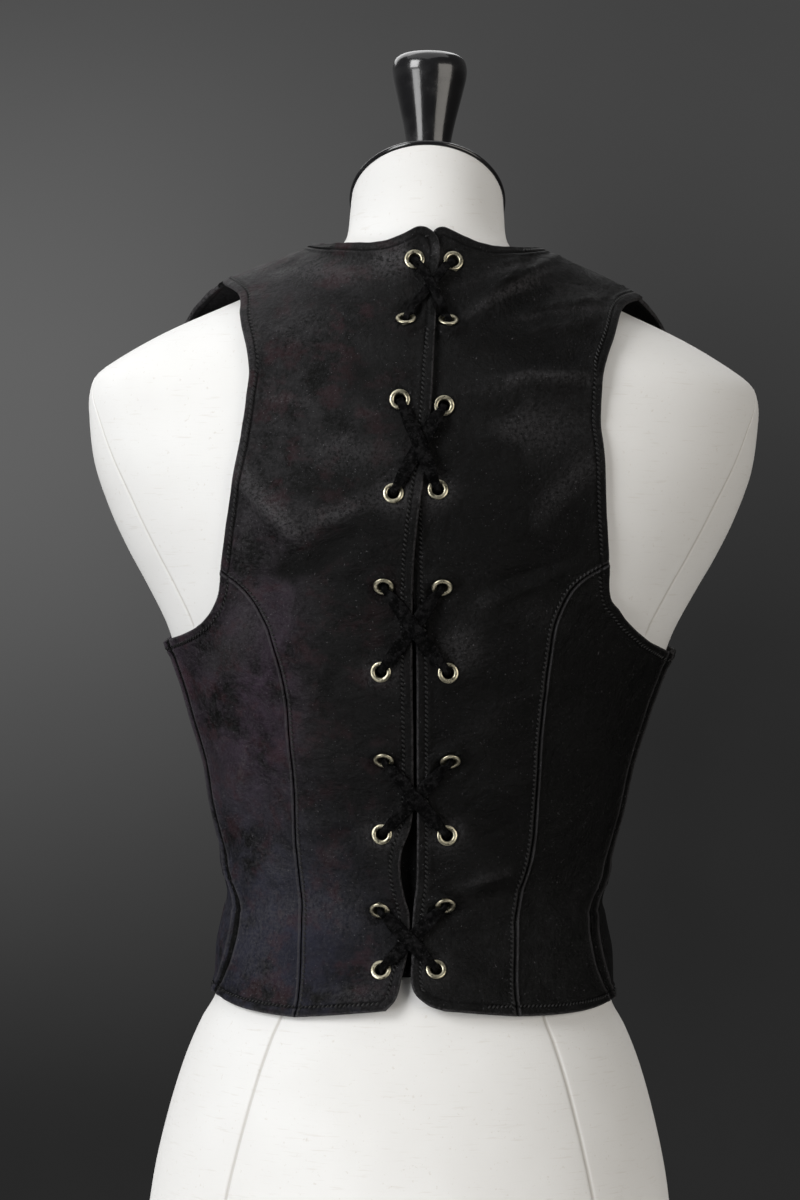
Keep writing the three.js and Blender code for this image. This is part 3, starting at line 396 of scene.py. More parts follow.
# Folds: degrees and height of one end and of the other, width, and rise, negative for a trough
FOLDS = [
    (27, 480, 9, 496, 9, -3), (17, 545, 9, 556, 7, -1.8), (30, 530, 21, 494, 8, 2.2),
    (-18, 640, -70, 650, 6, 2), (-9, 617, -47, 631, 6, 2), (-16, 586, -31, 588, 8, 1.8),
    (-12, 456, -27, 466, 8, -1.8), (52, 270, 116, 276, 7, -2), (56, 288, 104, 296, 7, 1.6),
    (-52, 272, -112, 274, 7, -2), (-58, 290, -100, 293, 7, 1.6), (20, 268, 42, 276, 8, -1.8),
    (-18, 262, -40, 272, 8, -1.8), (132, 282, 168, 276, 8, -1.8), (-138, 280, -166, 288, 8, -1.8),
    (33, 523, 24, 492, 7, 2.2), (14, 541, 7, 562, 8, 1.8), (22, 590, 34, 612, 9, 1.5),
    (13, 632, 50, 646, 7, 1.5),
    (-9, 624, -36, 648, 6, 2.0), (-11, 612, -42, 632, 6, -2.0), (-12, 581, -27, 585, 9, 1.6),
    (-12, 562, -30, 556, 9, -1.6), (-11, 452, -25, 468, 8, 2.0), (-11, 464, -27, 481, 8, -1.8),
    (-13, 286, -32, 298, 8, 1.8), (-13, 275, -34, 284, 7, -1.6), (20, 440, 34, 420, 10, 1.5),
    (18, 350, 34, 372, 10, 1.5), (-18, 340, -34, 360, 10, 1.5),
]
FOLD_RADIUS = 120
EDGE_LEFT = [
    (16, 217), (10, 224), (6.9, 236), (3.6, 251), (3.2, 272), (6, 281), (8.8, 296), (8.2, 308), (3, 324),
    (2.6, 370), (3.8, 410), (4.4, 462), (3.9, 480), (1.7, 505), (-1.9, 535), (-4.6, 572), (-5.4, 597),
    (-6.2, 619), (-7, 649), (-8, 661), (-6.5, 669), (-1, 674.5), (5, 675.5),
]
EDGE_RIGHT = [
    (-18, 217.5), (-8, 221), (0.4, 229), (1.6, 248), (1.2, 272), (-0.5, 290), (-0.5, 308), (0, 338),
    (0.7, 370), (1.5, 410), (3, 437), (5, 462), (6, 480), (7, 500), (7.4, 516), (6.2, 545), (4.6, 570),
    (3.2, 618), (0, 650), (-1.5, 665), (-4, 673), (-9, 676),
]
NECK_LEFT = [(13.6, 671.2), (26.6, 666.6), (48, 666.6)]
NECK_RIGHT = [(-16, 673.5), (-25, 669.5), (-36, 666.6), (-50, 666.4)]
EDGE_KNEE = 12
PRINCESS_LEFT = [
    (69.3, 210.2), (66.5, 246), (67.4, 276.7), (70.4, 307), (72.2, 338.6), (74.8, 369.5), (78, 397.6),
    (83.5, 421), (91, 441), (102, 457.5), (117.6, 470.8),
]
PRINCESS_RIGHT = [
    (-61, 213.4), (-59, 241), (-60, 268), (-62.5, 286), (-67.7, 307), (-70.2, 338.6), (-71, 369.5),
    (-73.4, 400.5), (-76, 425), (-80.5, 448), (-91.3, 466.5), (-110, 479),
]
ARMHOLE_LEFT = [
    (116.2, 484), (114.4, 499), (111.6, 518), (108, 541), (105.2, 561), (103.5, 578), (103, 590),
    (105.5, 604), (110, 622), (112, 636),
]
ARMHOLE_RIGHT = [
    (-108.4, 500), (-107.3, 520), (-106, 543), (-104, 561), (-104.2, 578), (-105, 590), (-109, 604),
    (-114.5, 622), (-120, 634),
]
SHOULDER_NECK = (90, 660.5)
SHOULDER_END = {"left": (90, 635.2), "right": (90, 630.8)}
SIDE_SEAM = [(74, 214.5), (70, 226), (65, 242), (64.5, 260), (70, 280), (75.5, 308), (76, 350), (75.5, 400)]
SIDE_TOP = {"left": (76, 430), "right": (76, 427.5)}
ARMPIT_BACK = {
    "left": [(45, 458.5), (48, 450.5), (52, 443.5), (57.5, 437.5), (65.5, 433)],
    "right": [(42, 458), (45.5, 452), (49, 446), (54, 440), (61.5, 433.5)],
}
ARMPIT_FRONT = [(124, 461), (117, 447), (109, 437), (98, 431), (86, 429)]
SIDE_HEM_DIP = 1.6
PRINCESS_FRONT = [
    (146, 213), (145, 250), (144, 290), (145, 330), (147, 370), (148, 410), (148, 437), (145, 456),
    (139, 470), (131, 480),
]
ARMHOLE_FRONT = [(129, 500), (128.5, 525), (129, 550), (128, 575), (124, 595), (116, 612), (104, 624)]
NECK_FRONT = [(176, 510), (168, 530), (158, 560), (147, 590), (136, 615), (124, 634), (112, 647), (100, 656)]
FRONT_HEM, FRONT_KNEE, FRONT_NECK = 214, 470, 505


# The eyelets: x and z of the left and right ones of each row, and how far the lace tips them, in
# degrees, up where it is above and down where it is below
EYELET_ROWS = [
    (6.9, 655, -15.8, 655, -8), (11.3, 618, -13.4, 618, 36), (13.9, 570.5, -11.7, 567.6, -8),
    (16.6, 516, -8.9, 518.6, 10), (21.2, 462.7, -12.3, 462.7, -34), (22.2, 413, -16.7, 413, 12),
    (19.6, 362, -18.9, 362, -40), (20.1, 318, -17.9, 318, 10), (20.4, 273.6, -17.5, 277, -48),
    (19.2, 239.5, -12.8, 240.5, 10),
]


def pulls(t, h):
    """How far the lace draws the leather in and out round the eyelets."""
    total = np.zeros(np.broadcast(t, h).shape)
    for t0, h0, tip in EYELET_SPOTS:
        tipped = np.radians(tip)
        off = np.hypot(np.radians(t - t0) * column(FORM, HALF, h0), (h - h0) / np.cos(tipped))
        pull = np.tan(tipped) * (h0 - h) + 2.2 * np.sin(abs(tipped)) ** 2
        total = total + pull * (1 - ease(6, 13, off))
    return np.where(turn(t) < 40, total, 0)


def folds(t, h, table=FOLDS, sharp=False):
    """Rise of the folds of a table, which fade out behind the lacing."""
    total = np.zeros(np.broadcast(t, h).shape)
    for t0, h0, t1, h1, width, rise in table:
        along = np.array([np.radians(t1 - t0) * FOLD_RADIUS, h1 - h0])
        here = [np.radians(t - t0) * FOLD_RADIUS, h - h0]
        f = np.clip((here[0] * along[0] + here[1] * along[1]) / (along @ along), 0, 1)
        off = np.hypot(here[0] - along[0] * f, here[1] - along[1] * f) / width
        shape = 1 / (1 + (2 * off) ** 2) ** 1.5 if sharp else np.exp(-off * off)
        total = total + rise * np.sin(np.pi * (0.15 + 0.7 * f)) * shape
    x = np.abs(column(FORM, HALF, h) * np.sin(np.radians(t)))
    return np.where(turn(t) < 90, total * ease(24, 40, x), total)


def overlap(t, h):
    """How far the left back is lifted, because it lies on the right one."""
    x = column(FORM, HALF, h) * np.sin(np.radians(t))
    return OVERLAP_LIFT * ease(*OVERLAP_HEIGHTS, h) * (1 - ease(*OVERLAP_REACH, x))


def loose(t, h, side):
    """Room between the form's skin and the inner face of the leather, and its lift over the other edge."""
    angle = turn(t)
    spots = [column(ROOM, k + 1, h) for k in range(len(ROOM_ANGLES))]
    room = spots[-1]
    for k in range(len(ROOM_ANGLES) - 2, -1, -1):
        f = ease(ROOM_ANGLES[k], ROOM_ANGLES[k + 1], angle)
        room = np.where(angle <= ROOM_ANGLES[k + 1], spots[k] * (1 - f) + spots[k + 1] * f, room)
    return room, overlap(t, h) if side == "left" else 0


def leather(t, h, rise, side, pulled=True):
    """Points of the leather, rise above its inner face, with or without the pull of the lace."""
    t, h = np.asarray(t, float), np.asarray(h, float)
    room, lifted = loose(t, h, side)
    off = np.maximum(room + folds(t, h), LEAST_ROOM) + lifted + rise
    if pulled:
        off = off + pulls(t, h)
    return skin(t, h, BUST_BRIDGED) + outward(t, h) * off[..., None]


def behind(places, side):
    """Degrees and height on the form behind points x, z of the outer face of the back."""
    x, z = np.array(places, float).T
    h = z.copy()
    t = np.degrees(np.arcsin(np.clip(x / (column(FORM, HALF, h) + 8), -1, 1)))
    for _ in range(30):
        room, lifted = loose(t, h, side)
        p = skin(t, h, BUST_BRIDGED) + outward(t, h) * (room + lifted + WALL)[..., None]
        h = h + 0.7 * (z - p[..., 2])
        girth = np.radians(1) * column(FORM, HALF, h) * np.maximum(np.cos(np.radians(t)), 0.25)
        t = t + 0.7 * (x - p[..., 0]) / girth
    return np.stack([t, h], axis=-1)


EYELET_SPOTS = [
    (*behind([place], side)[0], row[4])
    for row in EYELET_ROWS for side, place in (("left", row[:2]), ("right", row[2:4]))
]


def line(places, fractions):
    """A smooth line over the body through places of degrees and height."""
    p = np.array(places, float)
    p[:, 0] = np.radians(p[:, 0]) * FOLD_RADIUS
    made = curve(p, fractions)
    made[:, 0] = np.degrees(made[:, 0] / FOLD_RADIUS)
    return made


def shifted(places, amount):
    """Places moved round the body by an amount in millimetres."""
    after, before = (leather(places[:, 0] + step, places[:, 1], 0.0, "front") for step in (0.5, -0.5))
    girth = np.linalg.norm(after - before, axis=-1)
    return np.stack([places[:, 0] + amount / girth, places[:, 1]], axis=-1)


nubuck = Finish("nubuck", Specular_IOR_Level=0.09)
at = nubuck.place()
across, height = nubuck.part(at, 0), nubuck.part(at, 2)
grain = nubuck.noise(at, 520, 5, 0.8)
pore = nubuck.noise(at, 1900, 2, 0.6)
wrinkle = nubuck.apart(nubuck.noise(nubuck.stretch(at, (1, 1, 1.6)), 55, 3, 0.5, 0.8), 0.5)
mottle = nubuck.noise(at, 75, 6, 0.7, 0.3)
cloud = nubuck.noise(at, 24, 5, 0.62, 0.5)
patch = nubuck.noise(at, 9, 3, 0.5)
rust = nubuck.noise(nubuck.stretch(at, (1, 1, 1.2)), 48, 6, 0.68)
scuff = nubuck.step(nubuck.noise(nubuck.stretch(at, (1, 1, 2.6)), 110, 6, 0.78), 0.58, 0.74)
lint = nubuck.step(nubuck.noise(at, 1050, 2, 0.5), 0.70, 0.75)
edge, seam, high, rub, pressed = (nubuck.mark(name) for name in ("edge", "seam", "high", "rub", "pressed"))
# Deep black at the spine and on the right, purple at the wearer's left side, rusty on the left
# shoulder blade and a cold blue grey low on the left, where it has faded. The whole left side is paler
# with stronger mottling: partly the leather's own tone and partly a painted highlight of the light from the
# left
left_share = nubuck.step(across, 0.0, 0.09)
side_share = nubuck.step(across, 0.05, 0.09) * nubuck.step(height, 0.28, 0.38)
side_share = side_share * (1 - nubuck.step(height, 0.42, 0.53))
low_share = (1 - nubuck.step(height, 0.25, 0.38)) * nubuck.step(across, -0.01, 0.05)
gloom = nubuck.step(height, 0.26, 0.33) * (1 - nubuck.step(height, 0.5, 0.58))
gloom = gloom * (1 - nubuck.step(across, 0.05, 0.08))
# Painted highlight: mottling, wear and scuffs are stronger on the left, partly the leather's own tone and
# partly the light from that side; they are dimmer in a band across the middle of the back
sheen_and_tone = (0.26 + left_share * 0.74) * (1 - gloom * 0.62)
pale = nubuck.mix(left_share, (0.022, 0.0225, 0.0225), (0.032, 0.031, 0.033))
pale = nubuck.mix(side_share * nubuck.step(patch, 0.34, 0.58) * 0.9, pale, (0.048, 0.030, 0.049))
pale = nubuck.mix(low_share, pale, (0.026, 0.027, 0.045))
hide = nubuck.mix(nubuck.step(cloud, 0.36, 0.64) * sheen_and_tone * 0.55, (0.0014, 0.0014, 0.0014), pale)
hide = nubuck.mix(nubuck.step(mottle, 0.42, 0.68) * sheen_and_tone * 0.55, hide, pale)
rusty = nubuck.step(rust, 0.5, 0.64) * nubuck.step(across, 0.0, 0.04) * (1 - gloom * 0.5)
hide = nubuck.mix(rusty * 0.42, hide, (0.036, 0.0135, 0.017))
hide = nubuck.mix(nubuck.step(grain, 0.44, 0.68) * sheen_and_tone * 0.4, hide, (0.046, 0.045, 0.048))
hide = nubuck.mix((1 - nubuck.step(grain, 0.3, 0.46)) * 0.4, hide, (0.0012, 0.0012, 0.0012))
# Lighter on the worn edges, and on the crests and folds: partly wear and partly painted highlight, stronger
# on the lit left
wear_and_highlight = (1 - nubuck.step(edge, 0.4, 1.7)) * 0.6 + nubuck.step(high, 0.2, 1.6) * 0.35 * sheen_and_tone + rub
hide = nubuck.mix(wear_and_highlight * nubuck.step(grain, 0.35, 0.6) * 0.8, hide, (0.085, 0.082, 0.086))
# Painted shade: darker in the troughs of the folds
hide = nubuck.mix(nubuck.step(0 - rub, 0.0, 1.0), hide, (0.0022, 0.0022, 0.0022))
beside = 1 - nubuck.step(nubuck.apart(seam, 1.3 + pressed * 3.9), 0.2, 0.8 + pressed * 0.8)
hide = nubuck.mix(beside * (0.3 + nubuck.step(mottle, 0.3, 0.6) * 0.2), hide, (0.062, 0.060, 0.064))
# Painted shade of the stitch holes and of the dip along the edge stitching
stitch_line_shade = 1 - nubuck.step(nubuck.apart(edge, 5.6), 0.2, 1.2)
hide = nubuck.mix(stitch_line_shade * 0.8, hide, (0.0010, 0.0010, 0.0011))
# The seams darkened: partly the dark joint and partly painted shade in the groove, wider on pressed seams
hide = nubuck.mix(1 - nubuck.step(seam, pressed * 2.1, 0.3 + pressed * 3.4), hide, (0.0008, 0.0008, 0.0009))
hide = nubuck.mix(scuff * sheen_and_tone * 0.22, hide, (0.11, 0.105, 0.11))
hide = nubuck.mix(lint * 0.35, hide, (0.30, 0.29, 0.31))
NUBUCK = nubuck.feed(
    Base_Color=hide,
    Roughness=nubuck.step(mottle, 0.3, 0.75, 0.46, 0.68) + scuff * 0.1,
    Normal=nubuck.bump(
        grain * 0.5 + pore * 0.3 + nubuck.step(wrinkle, 0.0, 0.12) * 0.35 * patch + mottle * 1.2
        + cloud * 5.5, 0.75, 0.0015,
    ),
)
# Lighter and darker places of the back, on the outer face: x and z, reach along each, and how far lighter,
# partly worn and partly a painted highlight of the folds, or darkened where that is negative, which is
# painted shade in the troughs of the folds
WORN_AND_SHADED_SPOTS = [
    (16, 657, 6, 10, 0.8), (-6, 660, 5, 5, 0.5), (60, 650, 40, 8, 0.3), (103, 605, 6, 30, 0.35),
    (108, 560, 5, 26, 0.35), (70, 620, 14, 12, 0.2), (36, 540, 22, 8, 0.28), (60, 505, 30, 7, 0.25),
    (16.6, 516, 10, 10, 0.7), (-8.9, 518.6, 10, 10, 0.6), (22.2, 413, 10, 9, 0.55), (20, 318, 11, 9, 0.6),
    (-18, 318, 9, 9, 0.5), (-24, 428, 12, 12, 0.35), (26, 655, 6, 9, 0.6), (48, 262, 22, 26, 0.25),
    (90, 250, 18, 28, 0.3), (-60, 640, 36, 6, 0.2),
    (-36, 560, 22, 12, 0.1), (-45, 470, 20, 10, 0.06), (-13, 240, 9, 8, 0.3), (19, 240, 9, 8, 0.4),
    (30, 225, 24, 6, 0.35), (100, 440, 10, 16, 0.2), (66, 520, 12, 12, -0.5), (38, 480, 24, 16, -0.3),
    (48, 578, 20, 11, -0.3), (58, 246, 26, 14, -0.4), (-60, 630, 28, 9, -0.2), (-42, 608, 26, 9, -0.2),
    (-30, 545, 18, 16, -0.5), (-45, 500, 24, 16, -0.1), (-68, 556, 26, 15, 0.25), (105, 500, 7, 24, 0.25),
    (60, 530, 16, 6, 0.25), (-36, 575, 20, 7, 0.12),
]
# Long soft folds of the back: x and z of both ends, width, and how far each is a crest, which bulges
# and is lighter, partly worn and partly a painted highlight, or where that is negative a trough, which
# sinks and is darkened with painted shade
STREAKS = [
    (110, 545, 104, 522, 5, 0.4), (104, 526, 74, 493, 5, 0.85), (74, 489, 32, 512, 6, 0.65),
    (86, 470, 60, 477, 8, -0.9), (62, 478, 32, 497, 7, -1.0), (60, 540, 26, 565, 6, 0.55),
    (54, 549, 26, 558, 5, -0.5), (48, 468, 30, 488, 7, 0.45), (108, 516, 112, 490, 5, -0.5),
    (44, 602, 32, 578, 9, -0.45), (57, 396, 31, 390, 9, -0.4), (55, 302, 42, 309, 4, 0.3),
    (96, 300, 70, 290, 5, 0.3), (86, 268, 60, 276, 6, 0.3), (40, 640, 84, 652, 4, 0.3),
    (44, 628, 96, 632, 5, -0.3),
    (-24, 622, -74, 654, 3.5, 0.75), (-26, 634, -60, 652, 3, -0.7), (-38, 648, -64, 656, 3, 0.45),
    (-26, 612, -70, 638, 4, -0.5), (-48, 620, -76, 626, 3, 0.5), (-76, 626, -108, 631, 3, 0.45),
    (-24, 604, -54, 607, 8, -0.7), (-54, 607, -82, 600, 7, -0.6), (-47, 581, -62, 588, 3, 0.5),
    (-62, 588, -102, 585, 4, 0.6), (-48, 595, -86, 595, 5, -0.5), (-22, 548, -60, 555, 8, 0.4),
    (-24, 566, -50, 570, 6, -0.4), (-66, 502, -84, 524, 8, 0.4), (-84, 524, -103, 540, 8, 0.4),
    (-24, 496, -48, 506, 9, -0.4), (-92, 500, -96, 494, 12, -0.4), (-31, 449, -45, 460, 6, 0.2),
    (-45, 462, -74, 474, 5, -0.45), (-60, 452, -84, 440, 7, 0.12), (-96, 424, -120, 388, 10, -0.5),
    (-22, 287, -54, 297, 3, 0.22), (-22, 281, -56, 288, 3, -0.5), (-20, 262, -40, 266, 3, -0.6),
    (-30, 380, -50, 392, 7, 0.12), (-32, 350, -52, 344, 6, -0.35),
]
BULGE, SINK = 2.2, 0.7
# How far the crests are lightened, partly wear and partly painted highlight, and the troughs darkened with
# painted shade
CREST_WEAR_AND_HIGHLIGHT, TROUGH_PAINTED_SHADE = 0.6, 1.3


def streaked(points):
    """How far points of the back are on a crest, up to 1, or in a trough, down to -1."""
    total = np.zeros(points.shape[:-1])
    for x0, z0, x1, z1, wide, amount in STREAKS:
        dx, dz = points[..., 0] - x0, points[..., 2] - z0
        f = np.clip((dx * (x1 - x0) + dz * (z1 - z0)) / ((x1 - x0) ** 2 + (z1 - z0) ** 2), 0, 1)
        off = np.hypot(dx - (x1 - x0) * f, dz - (z1 - z0) * f) / wide
        total += amount * np.exp(-off * off) * np.sin(np.pi * (0.15 + 0.7 * f))
    return np.where(points[..., 1] > 0, np.clip(total, -1, 1), 0)


def fold_shading_and_wear_at(points):
    """How far points of the back are lighter, up to 1, partly worn and partly a painted highlight of the
    folds, or darkened with painted shade, down to -1.
    """
    total = streaked(points)
    total = total * np.where(total > 0, CREST_WEAR_AND_HIGHLIGHT, TROUGH_PAINTED_SHADE)
    for x, z, wide, tall, amount in WORN_AND_SHADED_SPOTS:
        off = ((points[..., 0] - x) / wide) ** 2 + ((points[..., 2] - z) / tall) ** 2
        total += amount * np.exp(-off)
    return np.where(points[..., 1] > 0, np.clip(total, -1, 1), 0)


# Columns of points beside a turned edge, by their distance from it, and the pitch of those between
NEAR = [0, 0.25, 0.6, 1.0, 1.5, 2.0, 2.6, 3.2, 3.7, 4.4, 5.0, 5.6, 6.2, 7.0, 8.2, 9.6]
PITCH = 2.4
# Sharper lines inside the folds, in the same terms as FOLDS
CREASES = [
    (28, 484, 12, 497, 3.6, -1.5), (18, 541, 10, 553, 3.5, -1.2), (24, 528, 18, 500, 3.5, 1.2),
    (32, 521, 24, 492, 6, 2.2), (26, 483, 14.5, 495, 5, 1.6), (27, 471, 12, 483, 6, -1.3),
    (14.5, 541, 7, 560, 6, 1.7), (16, 566, 30, 572, 7, 1.2), (20, 598, 33, 612, 7, 1.3),
    (12, 634, 52, 647, 6, 1.1),
    (-9, 624, -38, 650, 4, 2.0), (-10, 613, -40, 636, 4, -1.4), (-14, 606, -44, 622, 5, 1.4),
    (-16, 634, -44, 643, 3, 1.3), (-10, 581, -26, 585, 8, 1.7), (-12, 566, -30, 560, 7, -1.2),
    (-16, 589, -30, 591, 3, 0.9), (-11, 452, -25, 468, 6, 1.9), (-11, 462, -27, 479, 6, -1.3),
    (-12, 500, -30, 492, 9, 1.3), (16, 470, 24, 474, 4, 0.9), (-13, 286, -32, 298, 5, 1.7),
    (-13, 276, -34, 286, 5, -1.3), (-14, 392, -30, 404, 8, 1.2), (-14, 350, -30, 340, 8, 1.1),
    (16, 388, 30, 400, 8, 1.2), (14, 330, 34, 322, 8, 1.2), (46, 380, 56, 340, 8, 1.1),
    (42, 300, 60, 318, 7, 1.1),
    (30, 262, 18, 254, 3, -1.2), (27, 248, 17, 247, 3, -1.1), (24, 236, 16, 240, 3, -1.0),
    (28, 276, 20, 268, 3.5, 1.1), (-30, 266, -16, 256, 3, -1.2), (-26, 252, -16, 248, 3, -1.1),
    (-24, 236, -14, 240, 3, -1.0), (-20, 290, -36, 300, 3.5, -1.0), (-18, 318, -30, 330, 3.5, -1.0),
    (-16, 350, -30, 360, 3.5, -0.8), (17, 320, 30, 312, 3.5, -0.8), (-58, 268, -92, 270, 3, -1.1),
    (56, 266, 92, 269, 3, -1.1), (60, 282, 86, 286, 3, 1.0), (-60, 282, -86, 284, 3, 1.0),
    (150, 300, 172, 292, 8, 1.3), (-148, 262, -174, 272, 8, 1.3), (118, 360, 140, 380, 9, 1.2),
    (-116, 400, -138, 380, 9, 1.2),
]


def spread(length, start, end):
    """Shares of a length: crowded over the turned edge at either end that asks for it, even between."""
    low = np.array(NEAR) if start else np.array([0.0])
    high = length - np.array(NEAR)[::-1] if end else np.array([length])
    count = max(int((high[0] - low[-1]) / PITCH), 2)
    return np.concatenate([low, np.linspace(low[-1], high[0], count + 1)[1:-1], high]) / length


def ruled(inner, outer, f):
    """Degrees and heights at shares f of the way from each place of one line to its fellow on the other."""
    return [inner[:, k : k + 1] + (outer[:, k : k + 1] - inner[:, k : k + 1]) * f for k in (0, 1)]


def row_lengths(inner, outer, side):
    t, h = ruled(inner, outer, np.linspace(0, 1, 9)[None, :])
    return np.linalg.norm(np.diff(leather(t, h, 0.0, side), axis=1), axis=-1).sum(axis=1)


def nearest(points, edge_points):
    tree = KDTree(len(edge_points))
    for k, p in enumerate(edge_points):
        tree.insert(p, k)
    tree.balance()
    return np.array([tree.find(p)[2] for p in points])


def far(points, edge_points, limit=13):
    """Distance from each point to a line of points, up to a limit."""
    if not len(edge_points):
        return np.full(len(points), float(limit))
    return np.minimum(nearest(points, edge_points), limit)


THREAD_LONG, THREAD_THICK, THREAD_PITCH, THREAD_SLANT, THREAD_SUNK = 2.7, 1.35, 2.8, 1.0, 0.12
BEAD = [(-0.5, 0.35), (-0.3, 0.9), (0.3, 0.9), (0.5, 0.35)]  # shares of its length and of its thickness
BEAD_SIDES = 6
thread = Finish("thread", Specular_IOR_Level=0.4)
at = thread.place()
twist = thread.noise(at, 2200, 2)
THREAD = thread.feed(
    Base_Color=thread.mix(twist, (0.002, 0.002, 0.002), (0.007, 0.007, 0.0075)),
    Roughness=thread.step(twist, 0.3, 0.7, 0.42, 0.58),
    Normal=thread.bump(twist, 0.4, 0.0003),
)


def stitches(name, tracks):
    """A row of slanted thread beads along each track of points and directions out."""
    points, faces = [], []
    for track, outs in tracks:
        along = np.append(0, np.cumsum(np.linalg.norm(np.diff(track, axis=0), axis=1)))
        for s in np.arange(THREAD_PITCH, along[-1] - THREAD_PITCH, THREAD_PITCH):
            here, there, up = (np.array([np.interp(q, along, values[:, k]) for k in range(3)])
                               for q, values in ((s, track), (s + 0.8, track), (s, outs)))
            if np.linalg.norm(there - here) < 0.3:
                continue
            way = unit(there - here)
            way = unit(way + unit(np.cross(up, way)) * THREAD_SLANT)
            wide = unit(np.cross(up, way))
            first = len(points)
            for share, thick in BEAD:
                for a in np.linspace(0, 2 * np.pi, BEAD_SIDES, endpoint=False):
                    points.append(here + way * share * THREAD_LONG
                                  + up * (THREAD_SUNK + 0.5 * THREAD_THICK * thick * np.sin(a))
                                  + wide * 0.5 * THREAD_THICK * thick * np.cos(a))
            faces += cells(len(BEAD), BEAD_SIDES, ring=True, first=first)
            last = first + BEAD_SIDES * (len(BEAD) - 1)
            faces += [tuple(range(first, first + BEAD_SIDES))[::-1], tuple(range(last, last + BEAD_SIDES))]
    return piece(f"stitching_{name}", points, faces, THREAD) if points else None


PUNCHED = 4.5
LOWER_LONG, UPPER_LONG = 262, 330
# Each cut: width and length in metres, and its area in square metres
PANEL_CUTS = {
    "centre_back": ((0.138, 0.597), 0.046), "side_back": ((0.105, 0.286), 0.0185),
    "side_front": ((0.174, 0.315), 0.034), "centre_front": ((0.318, 0.574), 0.0802),
}
# Ridges beside a seam that is pressed open, plain or stitched, and the dip under the edge's stitches:
# rise, distance and reach. Then the fall of a cut edge and of the sewn ones: depth and reach.
RIDGE_PRESSED, RIDGE_PLAIN, RIDGE_STITCHED = (1.5, 5.4, 1.7), (0.5, 2.0, 0.9), (0.15, SEAM_STITCH, 1.2)
STITCH_DIP = (0.7, EDGE_STITCH, 1.0)
EDGE_FALL, FALL_PRESSED, FALL_PLAIN = (0.46, 1.3), (2.2, 3.6), (0.3, 0.8)
PRESSED_FROM, PRESSED_TO = 60, 100
TURNED_ENDS = (7.6, 9.6)
PUCKER, WAVE, DEEPEST = 0.22, 0.35, -1.1


def punch(t, h, kept, holes, side):
    """Moves the points round each hole on to its rim, and marks the faces inside it as not kept."""
    for t0, h0 in holes:
        ends = leather([t0 - 0.5, t0 + 0.5], [h0, h0], 0.0, side)
        girth = np.linalg.norm(ends[1] - ends[0])
        mid_t, mid_h = (0.25 * (g[1:, 1:] + g[1:, :-1] + g[:-1, 1:] + g[:-1, :-1]) for g in (t, h))
        gone = np.hypot((mid_t - t0) * girth, mid_h - h0) < PUNCHED
        kept &= ~gone
        touched, whole = np.zeros(t.shape, bool), np.ones(t.shape, bool)
        after, before = slice(1, None), slice(None, -1)
        for corner in ((after, after), (after, before), (before, after), (before, before)):
            touched[corner] |= gone
            whole[corner] &= gone
        rim = touched & ~whole
        off = np.hypot((t - t0) * girth, h - h0)
        t[rim], h[rim] = (t0 + (t - t0) * PUNCHED / off)[rim], (h0 + (h - h0) * PUNCHED / off)[rim]


def mound(distance, rise, place, reach):
    return rise * np.exp(-(((distance - place) / reach) ** 2))


def roll(distance, reach):
    """A quarter round: 1 at an edge and 0 from its reach on."""
    return 1 - np.sqrt(np.clip(1 - (np.clip(reach - distance, 0, reach) / reach) ** 2, 0, 1))


def stitch_tracks(group, wanted, distance, out, dirs, on_top):
    """Runs of points at one distance from the borders of a group, with their directions out."""
    rows, columns = distance.shape
    index = NEAR.index(wanted)
    tracks = []
    for name, part in group:
        if name == "top" and not on_top:
            continue
        if name in ("inner", "outer"):
            at = index if name == "inner" else columns - 1 - index
            spots = [(j, at) for j in range(*part.indices(rows))]
        else:
            spots = [(index if name == "hem" else rows - 1 - index, i) for i in range(columns)]
        run = []
        for k in [*spots, None]:
            if k is not None and abs(distance[k] - wanted) < 1.5:
                run.append(k)
                continue
            if len(run) > 4:
                tracks.append((np.array([out[k] for k in run]), np.array([dirs[k] for k in run])))
            run = []
    return tracks


